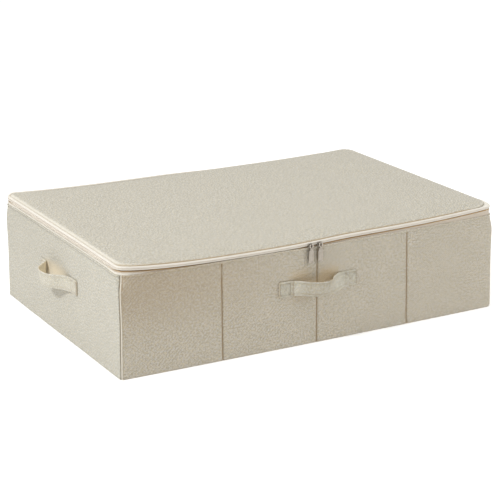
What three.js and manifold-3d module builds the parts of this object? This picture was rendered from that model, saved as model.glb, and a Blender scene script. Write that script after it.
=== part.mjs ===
// Under-bed storage box: fabric walls stiffened with boards, a loose base board,
// a padded fabric lid that zips shut on three sides and hinges on cloth along
// the back, and webbing handles on the front and both ends.
//
// Millimetres, +Z up. Origin: centre of the bottom face.
// Long side along X, front towards -Y, lid hinge along the back (+Y).

import * as THREE from 'three';
import { mergeVertices } from 'three/addons/utils/BufferGeometryUtils.js';
import Module from 'manifold-3d';

// ---------------------------------------------------------------- driving dimensions
const LENGTH = 700;            // outside, along X
const DEPTH = 450;             // outside, along Y
const HEIGHT = 180;            // floor to the lid's rim at the corners
const GAP = 0.3;               // clearance between touching layers

const CLOTH = 1.2;             // outer fabric with its backing
const BOARD = 2.5;             // stiffener board inside the walls
const LINING = 0.8;            // inner lining
const WALL_R = 8;              // corner radius of the walls and the bottom
const RIM_R = 24;              // corner radius of the zip and the lid
const WALL_TOP = 164;          // top hem of the wall fabric
const BOARD_TOP = 157.5;       // top of the stiffeners and the lining
const BOARD_SEAM = 3;          // width of the fold seam between two stiffeners
const PANELS = 4;              // stiffeners across the front and the back

const TAPE = 0.9;              // zip tape thickness
const TAPE_INSET = CLOTH + GAP;            // tape plane, inside the wall fabric
const TAPE_BOTTOM = 158;
const ZIP_LINE = 173;          // height of the zip at the corners
const COIL_W = 1.6, COIL_H = 1.6;
const ZIP_END_X = 285;         // the zip runs round the back corners to here
const SAG_FRONT = 8.6;         // how far the rim hangs at mid front
const SAG_BACK = 5.0;          // and at mid back
const SAG_HALF = 335;          // half length over which it hangs

const LID_CLOTH = 1.4;
const LID_PAD = 3.4;

const BASE_T = 3;              // loose base board
const BASE_SIDE = 6.2;         // from the outside of the wall to the board's edge
const BASE_Z = 1.6;

const STRAP_W = 25;            // webbing width
const STRAP_T = 2.4;
const STRAP_Z = 100.4;           // height of the handles' centre line
const STRAP_PATCH = 25;        // length sewn down at each end
const STRAP_HALF = 74;         // half length of a handle along the wall
const STRAP_RISE = 21.5;       // how far the middle stands off the wall
const STRAP_CUT = 24;          // the moving middle reaches this far each side

const SLIDER_W = 8.6, SLIDER_H = 8.8, SLIDER_T = 3.0;
const SLIDER_FACE = DEPTH / 2 + 0.3;       // back of the sliders, just off the wall
const SLIDER_X = [-18.4, -0.9];
const SLIDER_Z = 164.5;
const BAIL_W = 2.2;
const PULL_L = 28, PULL_W = 8.4, PULL_T = 1.2;
const PULL_AXIS_OUT = 1.5;     // pull pivot in front of the slider's face
const PULL_AXIS_Z = SLIDER_Z + 1.2;

// ---------------------------------------------------------------- finishes
const finish = (color, roughness, metalness = 0) => ({ color, roughness, metalness });
const FABRIC = finish(0xcdc6b4, 0.92);
const FABRIC_LID = finish(0xd1ccbe, 0.92);
const WEBBING = finish(0xd6d1c2, 0.85);
const TAPE_IVORY = finish(0xebe2d0, 0.8);
const COIL_NYLON = finish(0xcfc4ae, 0.5);
const NICKEL = finish(0xc9c7c2, 0.28, 1.0);
const LINING_CLOTH = finish(0xd9d4c8, 0.95);
const BOARD_GREY = finish(0xb7ad99, 0.9);
const FOAM = finish(0xe8e4da, 0.95);

const box = new THREE.Group();

function add(name, geometry, look, parent = box) {
  const mesh = new THREE.Mesh(geometry, new THREE.MeshStandardMaterial(look));
  mesh.name = name;
  parent.add(mesh);
  return mesh;
}

// ---------------------------------------------------------------- the hanging rim
// The rim is held up by the corners and hangs a little between them.
function sag(x, y) {
  const u = Math.min(1, Math.abs(x) / SAG_HALF);
  const shape = 1 - u ** 4;
  const front = SAG_FRONT * shape * (1 - 0.3 * Math.max(0, Math.min(1, x / SAG_HALF)));
  const back = SAG_BACK * shape;
  const t = Math.min(1, Math.max(0, 0.5 - y / DEPTH));
  return t * front + (1 - t) * back;
}

function hang(geometry, above = -1) {
  const p = geometry.getAttribute('position');
  for (let i = 0; i < p.count; i++) {
    if (p.getZ(i) > above) p.setZ(i, p.getZ(i) - sag(p.getX(i), p.getY(i)));
  }
  p.needsUpdate = true;
  geometry.computeVertexNormals();
  return geometry;
}

const STATIONS = [-300, -260, -200, -130, -60, 0, 60, 130, 200, 260, 300];

// Points along the rim at a given inset, from the back's right end clockwise
// round the front to the back's left end.
function rimPath(inset, endX = ZIP_END_X, radius = RIM_R) {
  const hx = LENGTH / 2 - inset, hy = DEPTH / 2 - inset, r = radius - inset;
  const cx = hx - r, cy = hy - r;
  const pts = [];
  const put = (x, y) => pts.push(new THREE.Vector2(x, y));
  const arc = (ax, ay, from, to, n = 4) => {
    for (let i = 0; i <= n; i++) {
      const a = THREE.MathUtils.degToRad(from + (to - from) * i / n);
      put(ax + r * Math.cos(a), ay + r * Math.sin(a));
    }
  };
  put(endX, hy);
  if (endX < 300) put(300, hy);
  arc(cx, cy, 90, 0);
  put(hx, 0);
  arc(cx, -cy, 0, -90);
  for (const x of [...STATIONS].reverse()) put(x, -hy);
  arc(-cx, -cy, -90, -180);
  put(-hx, 0);
  arc(-cx, cy, 180, 90);
  if (endX < 300) put(-300, hy);
  put(-endX, hy);
  return pts;
}

// A flat band standing on edge along a path: outer and inner are its two faces
// seen from above. straight: the lower edge stays level and only the upper hangs.
function strip(outer, inner, z0, z1, straight) {
  const n = outer.length - 1;
  const g = new THREE.BoxGeometry(n, 1, 1, n, 1, 1);
  const p = g.getAttribute('position');
  for (let i = 0; i < p.count; i++) {
    const k = Math.round(p.getX(i) + n / 2);
    const at = (p.getY(i) > 0 ? outer : inner)[k];
    p.setXYZ(i, at.x, at.y, p.getZ(i) > 0 ? z1 : z0);
  }
  return hang(g, straight ? z0 + 0.01 : -1);
}

const rimStrip = (inset, thick, z0, z1, straight = false) =>
  strip(rimPath(inset), rimPath(inset + thick), z0, z1, straight);

// A strip along the back between the two ends of the zip.
function backStrip(inset, thick, z0, z1, straight = false) {
  const xs = [...STATIONS.filter((x) => Math.abs(x) < 270)];
  const ends = ZIP_END_X - GAP * 2;
  const line = [-ends, ...xs, ends];
  const outer = line.map((x) => new THREE.Vector2(x, DEPTH / 2 - inset));
  const inner = line.map((x) => new THREE.Vector2(x, DEPTH / 2 - inset - thick));
  return strip(outer, inner, z0, z1, straight);
}

// A plate with the lid's outline that hangs like the rim does.
function lidPlate(inset, z0, z1) {
  const hx = LENGTH / 2 - inset, hy = DEPTH / 2 - inset, r = RIM_R - inset;
  const xs = [-hx, -hx + r / 2, -hx + r, ...STATIONS, hx - r, hx - r / 2, hx];
  const ys = [-hy, -hy + r / 2, -hy + r, -100, 0, 100, hy - r, hy - r / 2, hy];
  const nx = xs.length - 1, ny = ys.length - 1;
  const g = new THREE.BoxGeometry(nx, ny, 1, nx, ny, 1);
  const p = g.getAttribute('position');
  for (let i = 0; i < p.count; i++) {
    let x = xs[Math.round(p.getX(i) + nx / 2)];
    let y = ys[Math.round(p.getY(i) + ny / 2)];
    const z = p.getZ(i) > 0 ? z1 : z0;
    const a = (Math.abs(x) - (hx - r)) / r, b = (Math.abs(y) - (hy - r)) / r;
    if (a > 0 && b > 0) {
      const angle = a >= b ? (Math.PI / 4) * (b / a) : Math.PI / 2 - (Math.PI / 4) * (a / b);
      const d = r * Math.max(a, b);
      x = Math.sign(x) * (hx - r + d * Math.cos(angle));
      y = Math.sign(y) * (hy - r + d * Math.sin(angle));
    }
    p.setXYZ(i, x, y, z);
  }
  return hang(g);
}

// ---------------------------------------------------------------- wall panels
// Each wall fabric ends on the middle of the corner, where the panels are sewn.
function wallPanel(halfLength, offset, turn, z0, z1) {
  const r0 = WALL_R, r1 = WALL_R - CLOTH, c = halfLength - WALL_R, edge = 1.5;
  const outer = [], inner = [];
  const n = 3;
  for (let i = 0; i <= n; i++) {
    const a = THREE.MathUtils.degToRad(225 + edge + (45 - edge) * i / n);
    outer.push([-c + r0 * Math.cos(a), r0 * Math.sin(a)]);
    inner.push([-c + r1 * Math.cos(a), r1 * Math.sin(a)]);
  }
  for (let i = 0; i <= n; i++) {
    const a = THREE.MathUtils.degToRad(270 + (45 - edge) * i / n);
    outer.push([c + r0 * Math.cos(a), r0 * Math.sin(a)]);
    inner.push([c + r1 * Math.cos(a), r1 * Math.sin(a)]);
  }
  const dy = -(offset - WALL_R);
  const pts = [...outer, ...inner.reverse()].map(([x, y]) => new THREE.Vector2(x, y + dy));
  const g = new THREE.ExtrudeGeometry(new THREE.Shape(pts), { depth: z1 - z0, steps: 1, bevelEnabled: false });
  g.translate(0, 0, z0);
  g.rotateZ(turn);
  return g;
}

const hx = LENGTH / 2, hy = DEPTH / 2;
const W0 = CLOTH + GAP;        // the walls stand on the bottom fabric
add('front_cover', wallPanel(hx, hy, 0, W0, WALL_TOP), FABRIC);
add('right_cover', wallPanel(hy, hx, Math.PI / 2, W0, WALL_TOP), FABRIC);
add('back_cover', wallPanel(hx, hy, Math.PI, W0, WALL_TOP), FABRIC);
add('left_cover', wallPanel(hy, hx, -Math.PI / 2, W0, WALL_TOP), FABRIC);

// bottom fabric
{
  const s = new THREE.Shape();
  const r = WALL_R;
  s.moveTo(-hx + r, -hy);
  s.lineTo(hx - r, -hy);
  s.absarc(hx - r, -hy + r, r, -Math.PI / 2, 0, false);
  s.lineTo(hx, hy - r);
  s.absarc(hx - r, hy - r, r, 0, Math.PI / 2, false);
  s.lineTo(-hx + r, hy);
  s.absarc(-hx + r, hy - r, r, Math.PI / 2, Math.PI, false);
  s.lineTo(-hx, -hy + r);
  s.absarc(-hx + r, -hy + r, r, Math.PI, Math.PI * 1.5, false);
  add('bottom_cover', new THREE.ExtrudeGeometry(s, { depth: CLOTH, bevelEnabled: false, curveSegments: 4 }), FABRIC);
}

function slab(name, x0, x1, y0, y1, z0, z1, look) {
  const g = new THREE.BoxGeometry(x1 - x0, y1 - y0, z1 - z0);
  const m = add(name, g, look);
  m.position.set((x0 + x1) / 2, (y0 + y1) / 2, (z0 + z1) / 2);
  return m;
}

// stiffeners: four across the front and the back with fold seams between, one at each end
const B0 = CLOTH + GAP, B1 = B0 + BOARD;
const quarter = LENGTH / PANELS;
const boardEnd = hx - WALL_R - 1;
for (let i = 0; i < PANELS; i++) {
  const x0 = i === 0 ? -boardEnd : -hx + i * quarter + BOARD_SEAM / 2;
  const x1 = i === PANELS - 1 ? boardEnd : -hx + (i + 1) * quarter - BOARD_SEAM / 2;
  slab(`front_board_${i + 1}`, x0, x1, -hy + B0, -hy + B1, W0 + 1, BOARD_TOP, BOARD_GREY);
  slab(`back_board_${i + 1}`, x0, x1, hy - B1, hy - B0, W0 + 1, BOARD_TOP, BOARD_GREY);
}
const endBoard = hy - WALL_R - 0.5;
slab('left_board', -hx + B0, -hx + B1, -endBoard, endBoard, W0 + 1, BOARD_TOP, BOARD_GREY);
slab('right_board', hx - B1, hx - B0, -endBoard, endBoard, W0 + 1, BOARD_TOP, BOARD_GREY);

// lining
const L0 = B1 + GAP, L1 = L0 + LINING;
slab('left_lining', -hx + L0, -hx + L1, -hy + L0, hy - L0, W0, BOARD_TOP, LINING_CLOTH);
slab('right_lining', hx - L1, hx - L0, -hy + L0, hy - L0, W0, BOARD_TOP, LINING_CLOTH);
slab('front_lining', -hx + L1 + GAP, hx - L1 - GAP, -hy + L0, -hy + L1, W0, BOARD_TOP, LINING_CLOTH);
slab('back_lining', -hx + L1 + GAP, hx - L1 - GAP, hy - L1, hy - L0, W0, BOARD_TOP, LINING_CLOTH);

// loose base board
slab('base_board', -hx + BASE_SIDE, hx - BASE_SIDE, -hy + BASE_SIDE, hy - BASE_SIDE, BASE_Z, BASE_Z + BASE_T, LINING_CLOTH);

// ---------------------------------------------------------------- zip
const COIL_INSET = TAPE_INSET + TAPE + GAP;
add('body_zip_tape', rimStrip(TAPE_INSET, TAPE, TAPE_BOTTOM, ZIP_LINE - GAP, true), TAPE_IVORY);
add('body_zip_coil', rimStrip(COIL_INSET, COIL_W, ZIP_LINE - GAP - COIL_H, ZIP_LINE - GAP), COIL_NYLON);
add('back_hinge_strip', backStrip(TAPE_INSET, TAPE, TAPE_BOTTOM + 2, ZIP_LINE - GAP, true), TAPE_IVORY);

const STOP_W = 7, STOP_T = 0.9;
for (const [name, side] of [['zip_stop_left', -1], ['zip_stop_right', 1]]) {
  const x = side * (ZIP_END_X + STOP_W / 2 + 2);
  const y = hy - TAPE_INSET + GAP;
  slab(name, x - STOP_W / 2, x + STOP_W / 2, y, y + STOP_T, 165.2, 170, NICKEL);
}

// ---------------------------------------------------------------- lid
add('lid_top_cover', lidPlate(GAP, HEIGHT - LID_CLOTH, HEIGHT), FABRIC_LID);
add('lid_pad', lidPlate(COIL_INSET + COIL_W + GAP, HEIGHT - LID_CLOTH - 0.5 - LID_PAD, HEIGHT - LID_CLOTH - 0.5), FOAM);
add('lid_lining', lidPlate(COIL_INSET + COIL_W + GAP, ZIP_LINE + GAP, ZIP_LINE + GAP + LINING), LINING_CLOTH);
add('lid_zip_tape', rimStrip(TAPE_INSET, TAPE, ZIP_LINE + GAP, HEIGHT - LID_CLOTH - 0.4), TAPE_IVORY);
add('lid_zip_coil', rimStrip(COIL_INSET, COIL_W, ZIP_LINE + GAP, ZIP_LINE + GAP + COIL_H), COIL_NYLON);
add('lid_back_band', backStrip(TAPE_INSET, TAPE, ZIP_LINE + GAP, HEIGHT - LID_CLOTH - 0.4), TAPE_IVORY);

// ---------------------------------------------------------------- handles
// Height of the strap's centre line off the wall, s along the wall from the middle.
const strapFoot = STRAP_HALF - STRAP_PATCH;
function strapOut(s) {
  const base = GAP + STRAP_T / 2;
  if (Math.abs(s) >= strapFoot) return base;
  const c = Math.cos((Math.PI / 2) * Math.abs(s) / strapFoot);
  return base + STRAP_RISE * c * c;
}

function strapPiece(from, to, steps) {
  const outer = [], inner = [];
  for (let i = 0; i <= steps; i++) {
    const s = from + (to - from) * i / steps;
    const n = strapOut(s), d = 0.05;
    const slope = Math.atan2(strapOut(s + d) - strapOut(s - d), 2 * d);
    // the ends are cut square to the wall, so that both halves of a cut are parallel
    const end = i === 0 || i === steps;
    const sx = end ? 0 : -Math.sin(slope), sy = end ? 1 / Math.cos(slope) : Math.cos(slope);
    outer.push(new THREE.Vector2(s + sx * STRAP_T / 2, n + sy * STRAP_T / 2));
    inner.push(new THREE.Vector2(s - sx * STRAP_T / 2, n - sy * STRAP_T / 2));
  }
  const shape = new THREE.Shape([...outer, ...inner.reverse()]);
  const g = new THREE.ExtrudeGeometry(shape, { depth: STRAP_W, steps: 1, bevelEnabled: false });
  g.translate(0, 0, STRAP_Z - STRAP_W / 2);
  return g;
}

function handle(name, ends, turn, wall) {
  const group = new THREE.Group();
  group.rotation.z = turn;
  box.add(group);
  const put = (n, from, to, steps) => {
    const g = strapPiece(from, to, steps);
    g.translate(0, wall, 0);
    add(n, g, WEBBING, group);
  };
  put(`${name}_handle_end_${ends[0]}`, STRAP_CUT + GAP / 2, STRAP_HALF, 10);
  put(`${name}_handle_strap`, -STRAP_CUT + GAP / 2, STRAP_CUT - GAP / 2, 10);
  put(`${name}_handle_end_${ends[1]}`, -STRAP_HALF, -STRAP_CUT - GAP / 2, 10);
}
// in each handle's own frame s runs along X and outwards is +Y
handle('front', ['left', 'right'], Math.PI, hy);
handle('left', ['back', 'front'], Math.PI / 2, hx);
handle('right', ['front', 'back'], -Math.PI / 2, hx);

// ---------------------------------------------------------------- zip sliders and pulls
const wasm = await Module();
wasm.setup();

function solid(geometry) {
  let g = geometry.index ? geometry.toNonIndexed() : geometry.clone();
  g.deleteAttribute('normal');
  g.deleteAttribute('uv');
  g = mergeVertices(g, 1e-5);
  return new wasm.Manifold(new wasm.Mesh({
    numProp: 3,
    vertProperties: new Float32Array(g.getAttribute('position').array),
    triVerts: new Uint32Array(g.index.array),
  }));
}

function fromSolid(s) {
  const m = s.getMesh();
  const g = new THREE.BufferGeometry();
  g.setAttribute('position', new THREE.BufferAttribute(new Float32Array(m.vertProperties), 3));
  g.setIndex(new THREE.BufferAttribute(new Uint32Array(m.triVerts), 1));
  g.computeVertexNormals();
  return g;
}

// Slider: shield-shaped plate with a bridge (bail) that the pull hangs from.
// Local frame: X across, Y outwards from the zip (towards -Y of the box), Z up.
function sliderGeometry() {
  const w = SLIDER_W / 2, h = SLIDER_H / 2;
  const s = new THREE.Shape();
  s.moveTo(-w * 0.62, -h);
  s.lineTo(w * 0.62, -h);
  s.lineTo(w * 0.8, -h * 0.2);
  s.lineTo(w, h * 0.55);
  s.lineTo(w * 0.75, h);
  s.lineTo(-w * 0.75, h);
  s.lineTo(-w, h * 0.55);
  s.lineTo(-w * 0.8, -h * 0.2);
  s.closePath();
  const plate = new THREE.ExtrudeGeometry(s, { depth: SLIDER_T, bevelEnabled: false });
  plate.rotateX(Math.PI / 2);          // shape's y to z, extrusion towards -Y
  const b = new THREE.Shape();         // bail seen from the side: x outwards, y up
  const top = PULL_AXIS_Z - SLIDER_Z + 3.5, low = PULL_AXIS_Z - SLIDER_Z - 4.5;
  b.moveTo(-1, low);
  b.lineTo(2.6, low);
  b.lineTo(3.7, low + 1.2);
  b.lineTo(3.7, top - 1.2);
  b.lineTo(2.6, top);
  b.lineTo(-1, top);
  b.closePath();
  const hole = new THREE.Path();
  hole.moveTo(0.001, low + 1.3);
  hole.lineTo(0.001, top - 1.3);
  hole.lineTo(2.3, top - 1.3);
  hole.lineTo(2.6, top - 1.8);
  hole.lineTo(2.6, low + 1.8);
  hole.lineTo(2.3, low + 1.3);
  hole.closePath();
  b.holes.push(hole);
  const bail = new THREE.ExtrudeGeometry(b, { depth: BAIL_W, bevelEnabled: false });
  bail.translate(0, 0, -BAIL_W / 2);
  // shape x to outwards (-Y), shape y to up (+Z), depth to X
  bail.applyMatrix4(new THREE.Matrix4().set(
    0, 0, -1, 0,
    -1, 0, 0, -SLIDER_T,
    0, 1, 0, 0,
    0, 0, 0, 1));
  return fromSolid(solid(plate).add(solid(bail)));
}

// Pull: slim tab with a slot; its top bar is the pivot, at the local origin.
function pullGeometry() {
  const t = PULL_T / 2, w = PULL_W / 2;
  const bottom = -(PULL_L - t);
  const s = new THREE.Shape();
  s.moveTo(-w * 0.72, t);
  s.lineTo(-w * 0.78, -6);
  s.lineTo(-w, -9);
  s.lineTo(-w, bottom + 1.5);
  s.lineTo(-w + 1.5, bottom);
  s.lineTo(w - 1.5, bottom);
  s.lineTo(w, bottom + 1.5);
  s.lineTo(w, -9);
  s.lineTo(w * 0.78, -6);
  s.lineTo(w * 0.72, t);
  s.closePath();
  const slot = new THREE.Path();
  slot.moveTo(-1.6, -t);
  slot.lineTo(1.6, -t);
  slot.lineTo(1.6, -5.6);
  slot.lineTo(-1.6, -5.6);
  slot.closePath();
  s.holes.push(slot);
  const g = new THREE.ExtrudeGeometry(s, { depth: PULL_T, bevelEnabled: false });
  g.translate(0, 0, -t);
  g.rotateX(Math.PI / 2);
  return g;
}

SLIDER_X.forEach((x, i) => {
  const side = i === 0 ? 'left' : 'right';
  const slider = add(`zip_slider_${side}`, sliderGeometry(), NICKEL);
  slider.position.set(x, -SLIDER_FACE, SLIDER_Z);
  const pull = add(`zip_pull_${side}`, pullGeometry(), NICKEL);
  pull.position.set(x, -SLIDER_FACE - SLIDER_T - PULL_AXIS_OUT, PULL_AXIS_Z);
});

export default box;
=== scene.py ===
"""Under-bed storage box: the looks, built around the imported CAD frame. Numbers are millimetres until a mesh is made."""
import math

import bmesh
import bpy
import numpy as np
from mathutils import Matrix, Vector


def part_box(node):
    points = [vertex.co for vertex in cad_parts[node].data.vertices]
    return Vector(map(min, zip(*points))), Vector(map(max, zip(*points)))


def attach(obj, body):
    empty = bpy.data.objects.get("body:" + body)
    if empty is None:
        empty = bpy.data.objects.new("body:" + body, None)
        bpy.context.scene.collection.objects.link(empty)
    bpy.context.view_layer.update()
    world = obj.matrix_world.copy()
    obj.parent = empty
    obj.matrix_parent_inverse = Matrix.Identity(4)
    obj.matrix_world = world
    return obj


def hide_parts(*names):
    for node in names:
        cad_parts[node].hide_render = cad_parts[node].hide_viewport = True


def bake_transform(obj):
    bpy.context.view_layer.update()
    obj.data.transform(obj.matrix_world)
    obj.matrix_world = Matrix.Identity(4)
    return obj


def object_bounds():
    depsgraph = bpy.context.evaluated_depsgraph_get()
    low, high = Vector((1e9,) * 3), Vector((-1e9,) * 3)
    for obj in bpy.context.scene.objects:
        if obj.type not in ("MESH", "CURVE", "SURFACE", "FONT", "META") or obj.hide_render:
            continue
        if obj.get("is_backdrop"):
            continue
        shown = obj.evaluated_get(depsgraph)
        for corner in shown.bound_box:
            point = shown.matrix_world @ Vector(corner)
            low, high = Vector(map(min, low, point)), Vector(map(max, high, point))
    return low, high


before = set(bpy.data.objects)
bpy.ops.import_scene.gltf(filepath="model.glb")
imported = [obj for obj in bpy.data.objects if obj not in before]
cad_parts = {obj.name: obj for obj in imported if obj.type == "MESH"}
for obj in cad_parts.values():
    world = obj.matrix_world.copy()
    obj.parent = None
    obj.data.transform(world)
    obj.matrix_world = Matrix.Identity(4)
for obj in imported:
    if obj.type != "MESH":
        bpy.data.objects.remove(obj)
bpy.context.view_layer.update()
SEED = 11
rng = np.random.default_rng(SEED)

HX, HY = 350.0, 225.0            # half length and half depth
ZIP = 173.0                      # zip line at the corners
RIM_R = 24.0
# corner radii of the rim and of the lid cloth inside it, by the sides (x, y) they are on
RIM_CORNER = {(1, 1): 24.0, (1, -1): 20.0, (-1, -1): 20.0, (-1, 1): 15.0}
LID_CORNER = {(1, 1): 26.0, (1, -1): 37.0, (-1, -1): 24.0, (-1, 1): 18.0}


# ------------------------------------------------------------------ camera
def make_camera():
    az, el, roll = math.radians(-30.32), math.radians(17.84), math.radians(0.7)
    target, dist = Vector((0.0048, 0.0021, 0.090)), 2.8093
    back = Vector((math.sin(az) * math.cos(el), -math.cos(az) * math.cos(el), math.sin(el)))
    fwd = -back
    right = fwd.cross(Vector((0, 0, 1))).normalized()
    up = right.cross(fwd)
    cx = math.cos(roll) * right + math.sin(roll) * up
    cy = -math.sin(roll) * right + math.cos(roll) * up
    data = bpy.data.cameras.new("camera")
    data.lens, data.sensor_width = 117.8, 36.0
    data.clip_start, data.clip_end = 0.05, 100
    data.dof.use_dof = False
    cam = bpy.data.objects.new("camera", data)
    m = Matrix((cx, cy, back)).transposed().to_4x4()
    m.translation = target + back * dist
    cam.matrix_world = m
    bpy.context.scene.collection.objects.link(cam)
    bpy.context.scene.camera = cam


make_camera()
view = bpy.context.scene.view_settings
view.view_transform = "Standard"
view.look = "None"
view.exposure = 0.0
view.gamma = 1.0


# ------------------------------------------------------------------ small maths
def smooth(a, b, x):
    t = np.clip((np.asarray(x, float) - a) / (b - a), 0, 1)
    return t * t * (3 - 2 * t)


def sag(x, y):
    """How far the zip rim hangs below its height at the corners."""
    u = np.minimum(1, np.abs(x) / 335.0)
    shape = 1 - u ** 4
    turn = smooth(-70, 70, x)                               # a little lower on the left of the pulls than on the right
    front = 8.6 * shape * (1 - 0.3 * np.clip(x / 335.0, 0, 1)) + 1.7 * (1 - turn) * (1 - u ** 6) \
        - (1.9 + 0.9 * np.clip((x - 200.0) / 135.0, 0, 1)) * turn
    back = 5.0 * shape
    t = np.clip(0.5 - y / 450.0, 0, 1)
    return t * front + (1 - t) * back


def hem_height(x, side):
    """Top of the wall fabric along a panel."""
    u = np.minimum(1, np.abs(x) / 335.0)
    if side == "front":
        return 166.3 - 3.1 * (1 - u ** 3) - 2.6 * (1 - smooth(-70, 70, x)) * (1 - u ** 6)
    if side == "back":
        return 166.3 - 1.6 * (1 - u ** 3)
    return 166.3 + 0 * u


def by_corner(table, x, y):
    """A corner's number for each point, by the quarter of the box that it is in."""
    x, y = np.broadcast_arrays(np.asarray(x, float), np.asarray(y, float))
    return np.where(x >= 0, np.where(y >= 0, table[1, 1], table[1, -1]), np.where(y >= 0, table[-1, 1], table[-1, -1]))


def waves(x, y, seed, count, low, high, amount):
    """A smooth random surface: a few long sine waves in random directions, in millimetres."""
    r = np.random.default_rng(seed)
    out = np.zeros(np.broadcast(x, y).shape)
    for _ in range(count):
        length = r.uniform(low, high)
        ang = r.uniform(0, math.pi)
        ph = r.uniform(0, 2 * math.pi)
        out += np.sin(2 * math.pi * (x * math.cos(ang) + y * math.sin(ang)) / length + ph)
    return out * amount / math.sqrt(count)


def stations(points, step):
    """Fill a sorted list of key positions with in-between ones, no more than step apart."""
    out = [points[0]]
    for a, b in zip(points[:-1], points[1:]):
        n = max(1, int(math.ceil((b - a) / step)))
        out += [a + (b - a) * (i + 1) / n for i in range(n)]
    return np.array(out)


# ------------------------------------------------------------------ node helpers
class Nodes:
    def __init__(self, name, slot=None):
        self.mat = bpy.data.materials.new(name)
        self.mat.use_nodes = True
        self.nt = self.mat.node_tree
        self.nt.nodes.clear()
        self.out = self.nt.nodes.new("ShaderNodeOutputMaterial")
        self.bsdf = self.nt.nodes.new("ShaderNodeBsdfPrincipled")
        self.nt.links.new(self.bsdf.outputs[0], self.out.inputs[0])

    def put(self, sock, value):
        if isinstance(value, bpy.types.NodeSocket):
            self.nt.links.new(value, sock)
        elif value is not None:
            sock.default_value = value

    def set(self, **values):
        for key, value in values.items():
            self.put(self.bsdf.inputs[key.replace("_", " ")], value)

    def math(self, op, a, b=None, c=None, clamp=False):
        n = self.nt.nodes.new("ShaderNodeMath")
        n.operation, n.use_clamp = op, clamp
        for i, v in enumerate((a, b, c)):
            if v is not None:
                self.put(n.inputs[i], v)
        return n.outputs[0]

    def uv(self):
        n = self.nt.nodes.new("ShaderNodeUVMap")
        n.uv_map = "UVMap"
        return n.outputs[0]

    def obj(self):
        return self.nt.nodes.new("ShaderNodeTexCoord").outputs["Object"]

    def sep(self, v):
        n = self.nt.nodes.new("ShaderNodeSeparateXYZ")
        self.put(n.inputs[0], v)
        return n.outputs

    def mapping(self, v, scale=(1, 1, 1), rot=0.0, loc=(0, 0, 0)):
        n = self.nt.nodes.new("ShaderNodeMapping")
        self.put(n.inputs["Vector"], v)
        n.inputs["Scale"].default_value = scale
        n.inputs["Rotation"].default_value = (0, 0, rot)
        n.inputs["Location"].default_value = loc
        return n.outputs[0]

    def noise(self, v, scale, detail=2.0, rough=0.5, distort=0.0):
        n = self.nt.nodes.new("ShaderNodeTexNoise")
        self.put(n.inputs["Vector"], v)
        n.inputs["Scale"].default_value = scale
        n.inputs["Detail"].default_value = detail
        n.inputs["Roughness"].default_value = rough
        n.inputs["Distortion"].default_value = distort
        return n.outputs[0]

    def voronoi(self, v, scale):
        n = self.nt.nodes.new("ShaderNodeTexVoronoi")
        self.put(n.inputs["Vector"], v)
        n.inputs["Scale"].default_value = scale
        return n.outputs["Distance"]

    def mix(self, f, a, b, blend="MIX"):
        n = self.nt.nodes.new("ShaderNodeMix")
        n.data_type, n.blend_type = "RGBA", blend
        self.put(n.inputs[0], f)
        self.put(n.inputs[6], a)
        self.put(n.inputs[7], b)
        return n.outputs[2]

    def ramp(self, f, stops):
        n = self.nt.nodes.new("ShaderNodeValToRGB")
        self.put(n.inputs[0], f)
        e = n.color_ramp.elements
        while len(e) < len(stops):
            e.new(0.5)
        for k, (pos, col) in zip(e, stops):
            k.position, k.color = pos, col
        return n.outputs[0]

    def remap(self, v, a, b, c, d):
        n = self.nt.nodes.new("ShaderNodeMapRange")
        self.put(n.inputs[0], v)
        for i, x in enumerate((a, b, c, d)):
            n.inputs[1 + i].default_value = x
        return n.outputs[0]

    def attr(self, name):
        n = self.nt.nodes.new("ShaderNodeAttribute")
        n.attribute_name = name
        return n.outputs["Fac"]

    def bump(self, height, strength, distance, normal=None):
        n = self.nt.nodes.new("ShaderNodeBump")
        n.inputs["Strength"].default_value = strength
        n.inputs["Distance"].default_value = distance
        self.put(n.inputs["Height"], height)
        if normal is not None:
            self.put(n.inputs["Normal"], normal)
        return n.outputs[0]


def srgb(r, g, b):
    def f(c):
        c /= 255.0
        return c / 12.92 if c <= 0.04045 else ((c + 0.055) / 1.055) ** 2.4
    return (f(r), f(g), f(b), 1.0)


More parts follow.
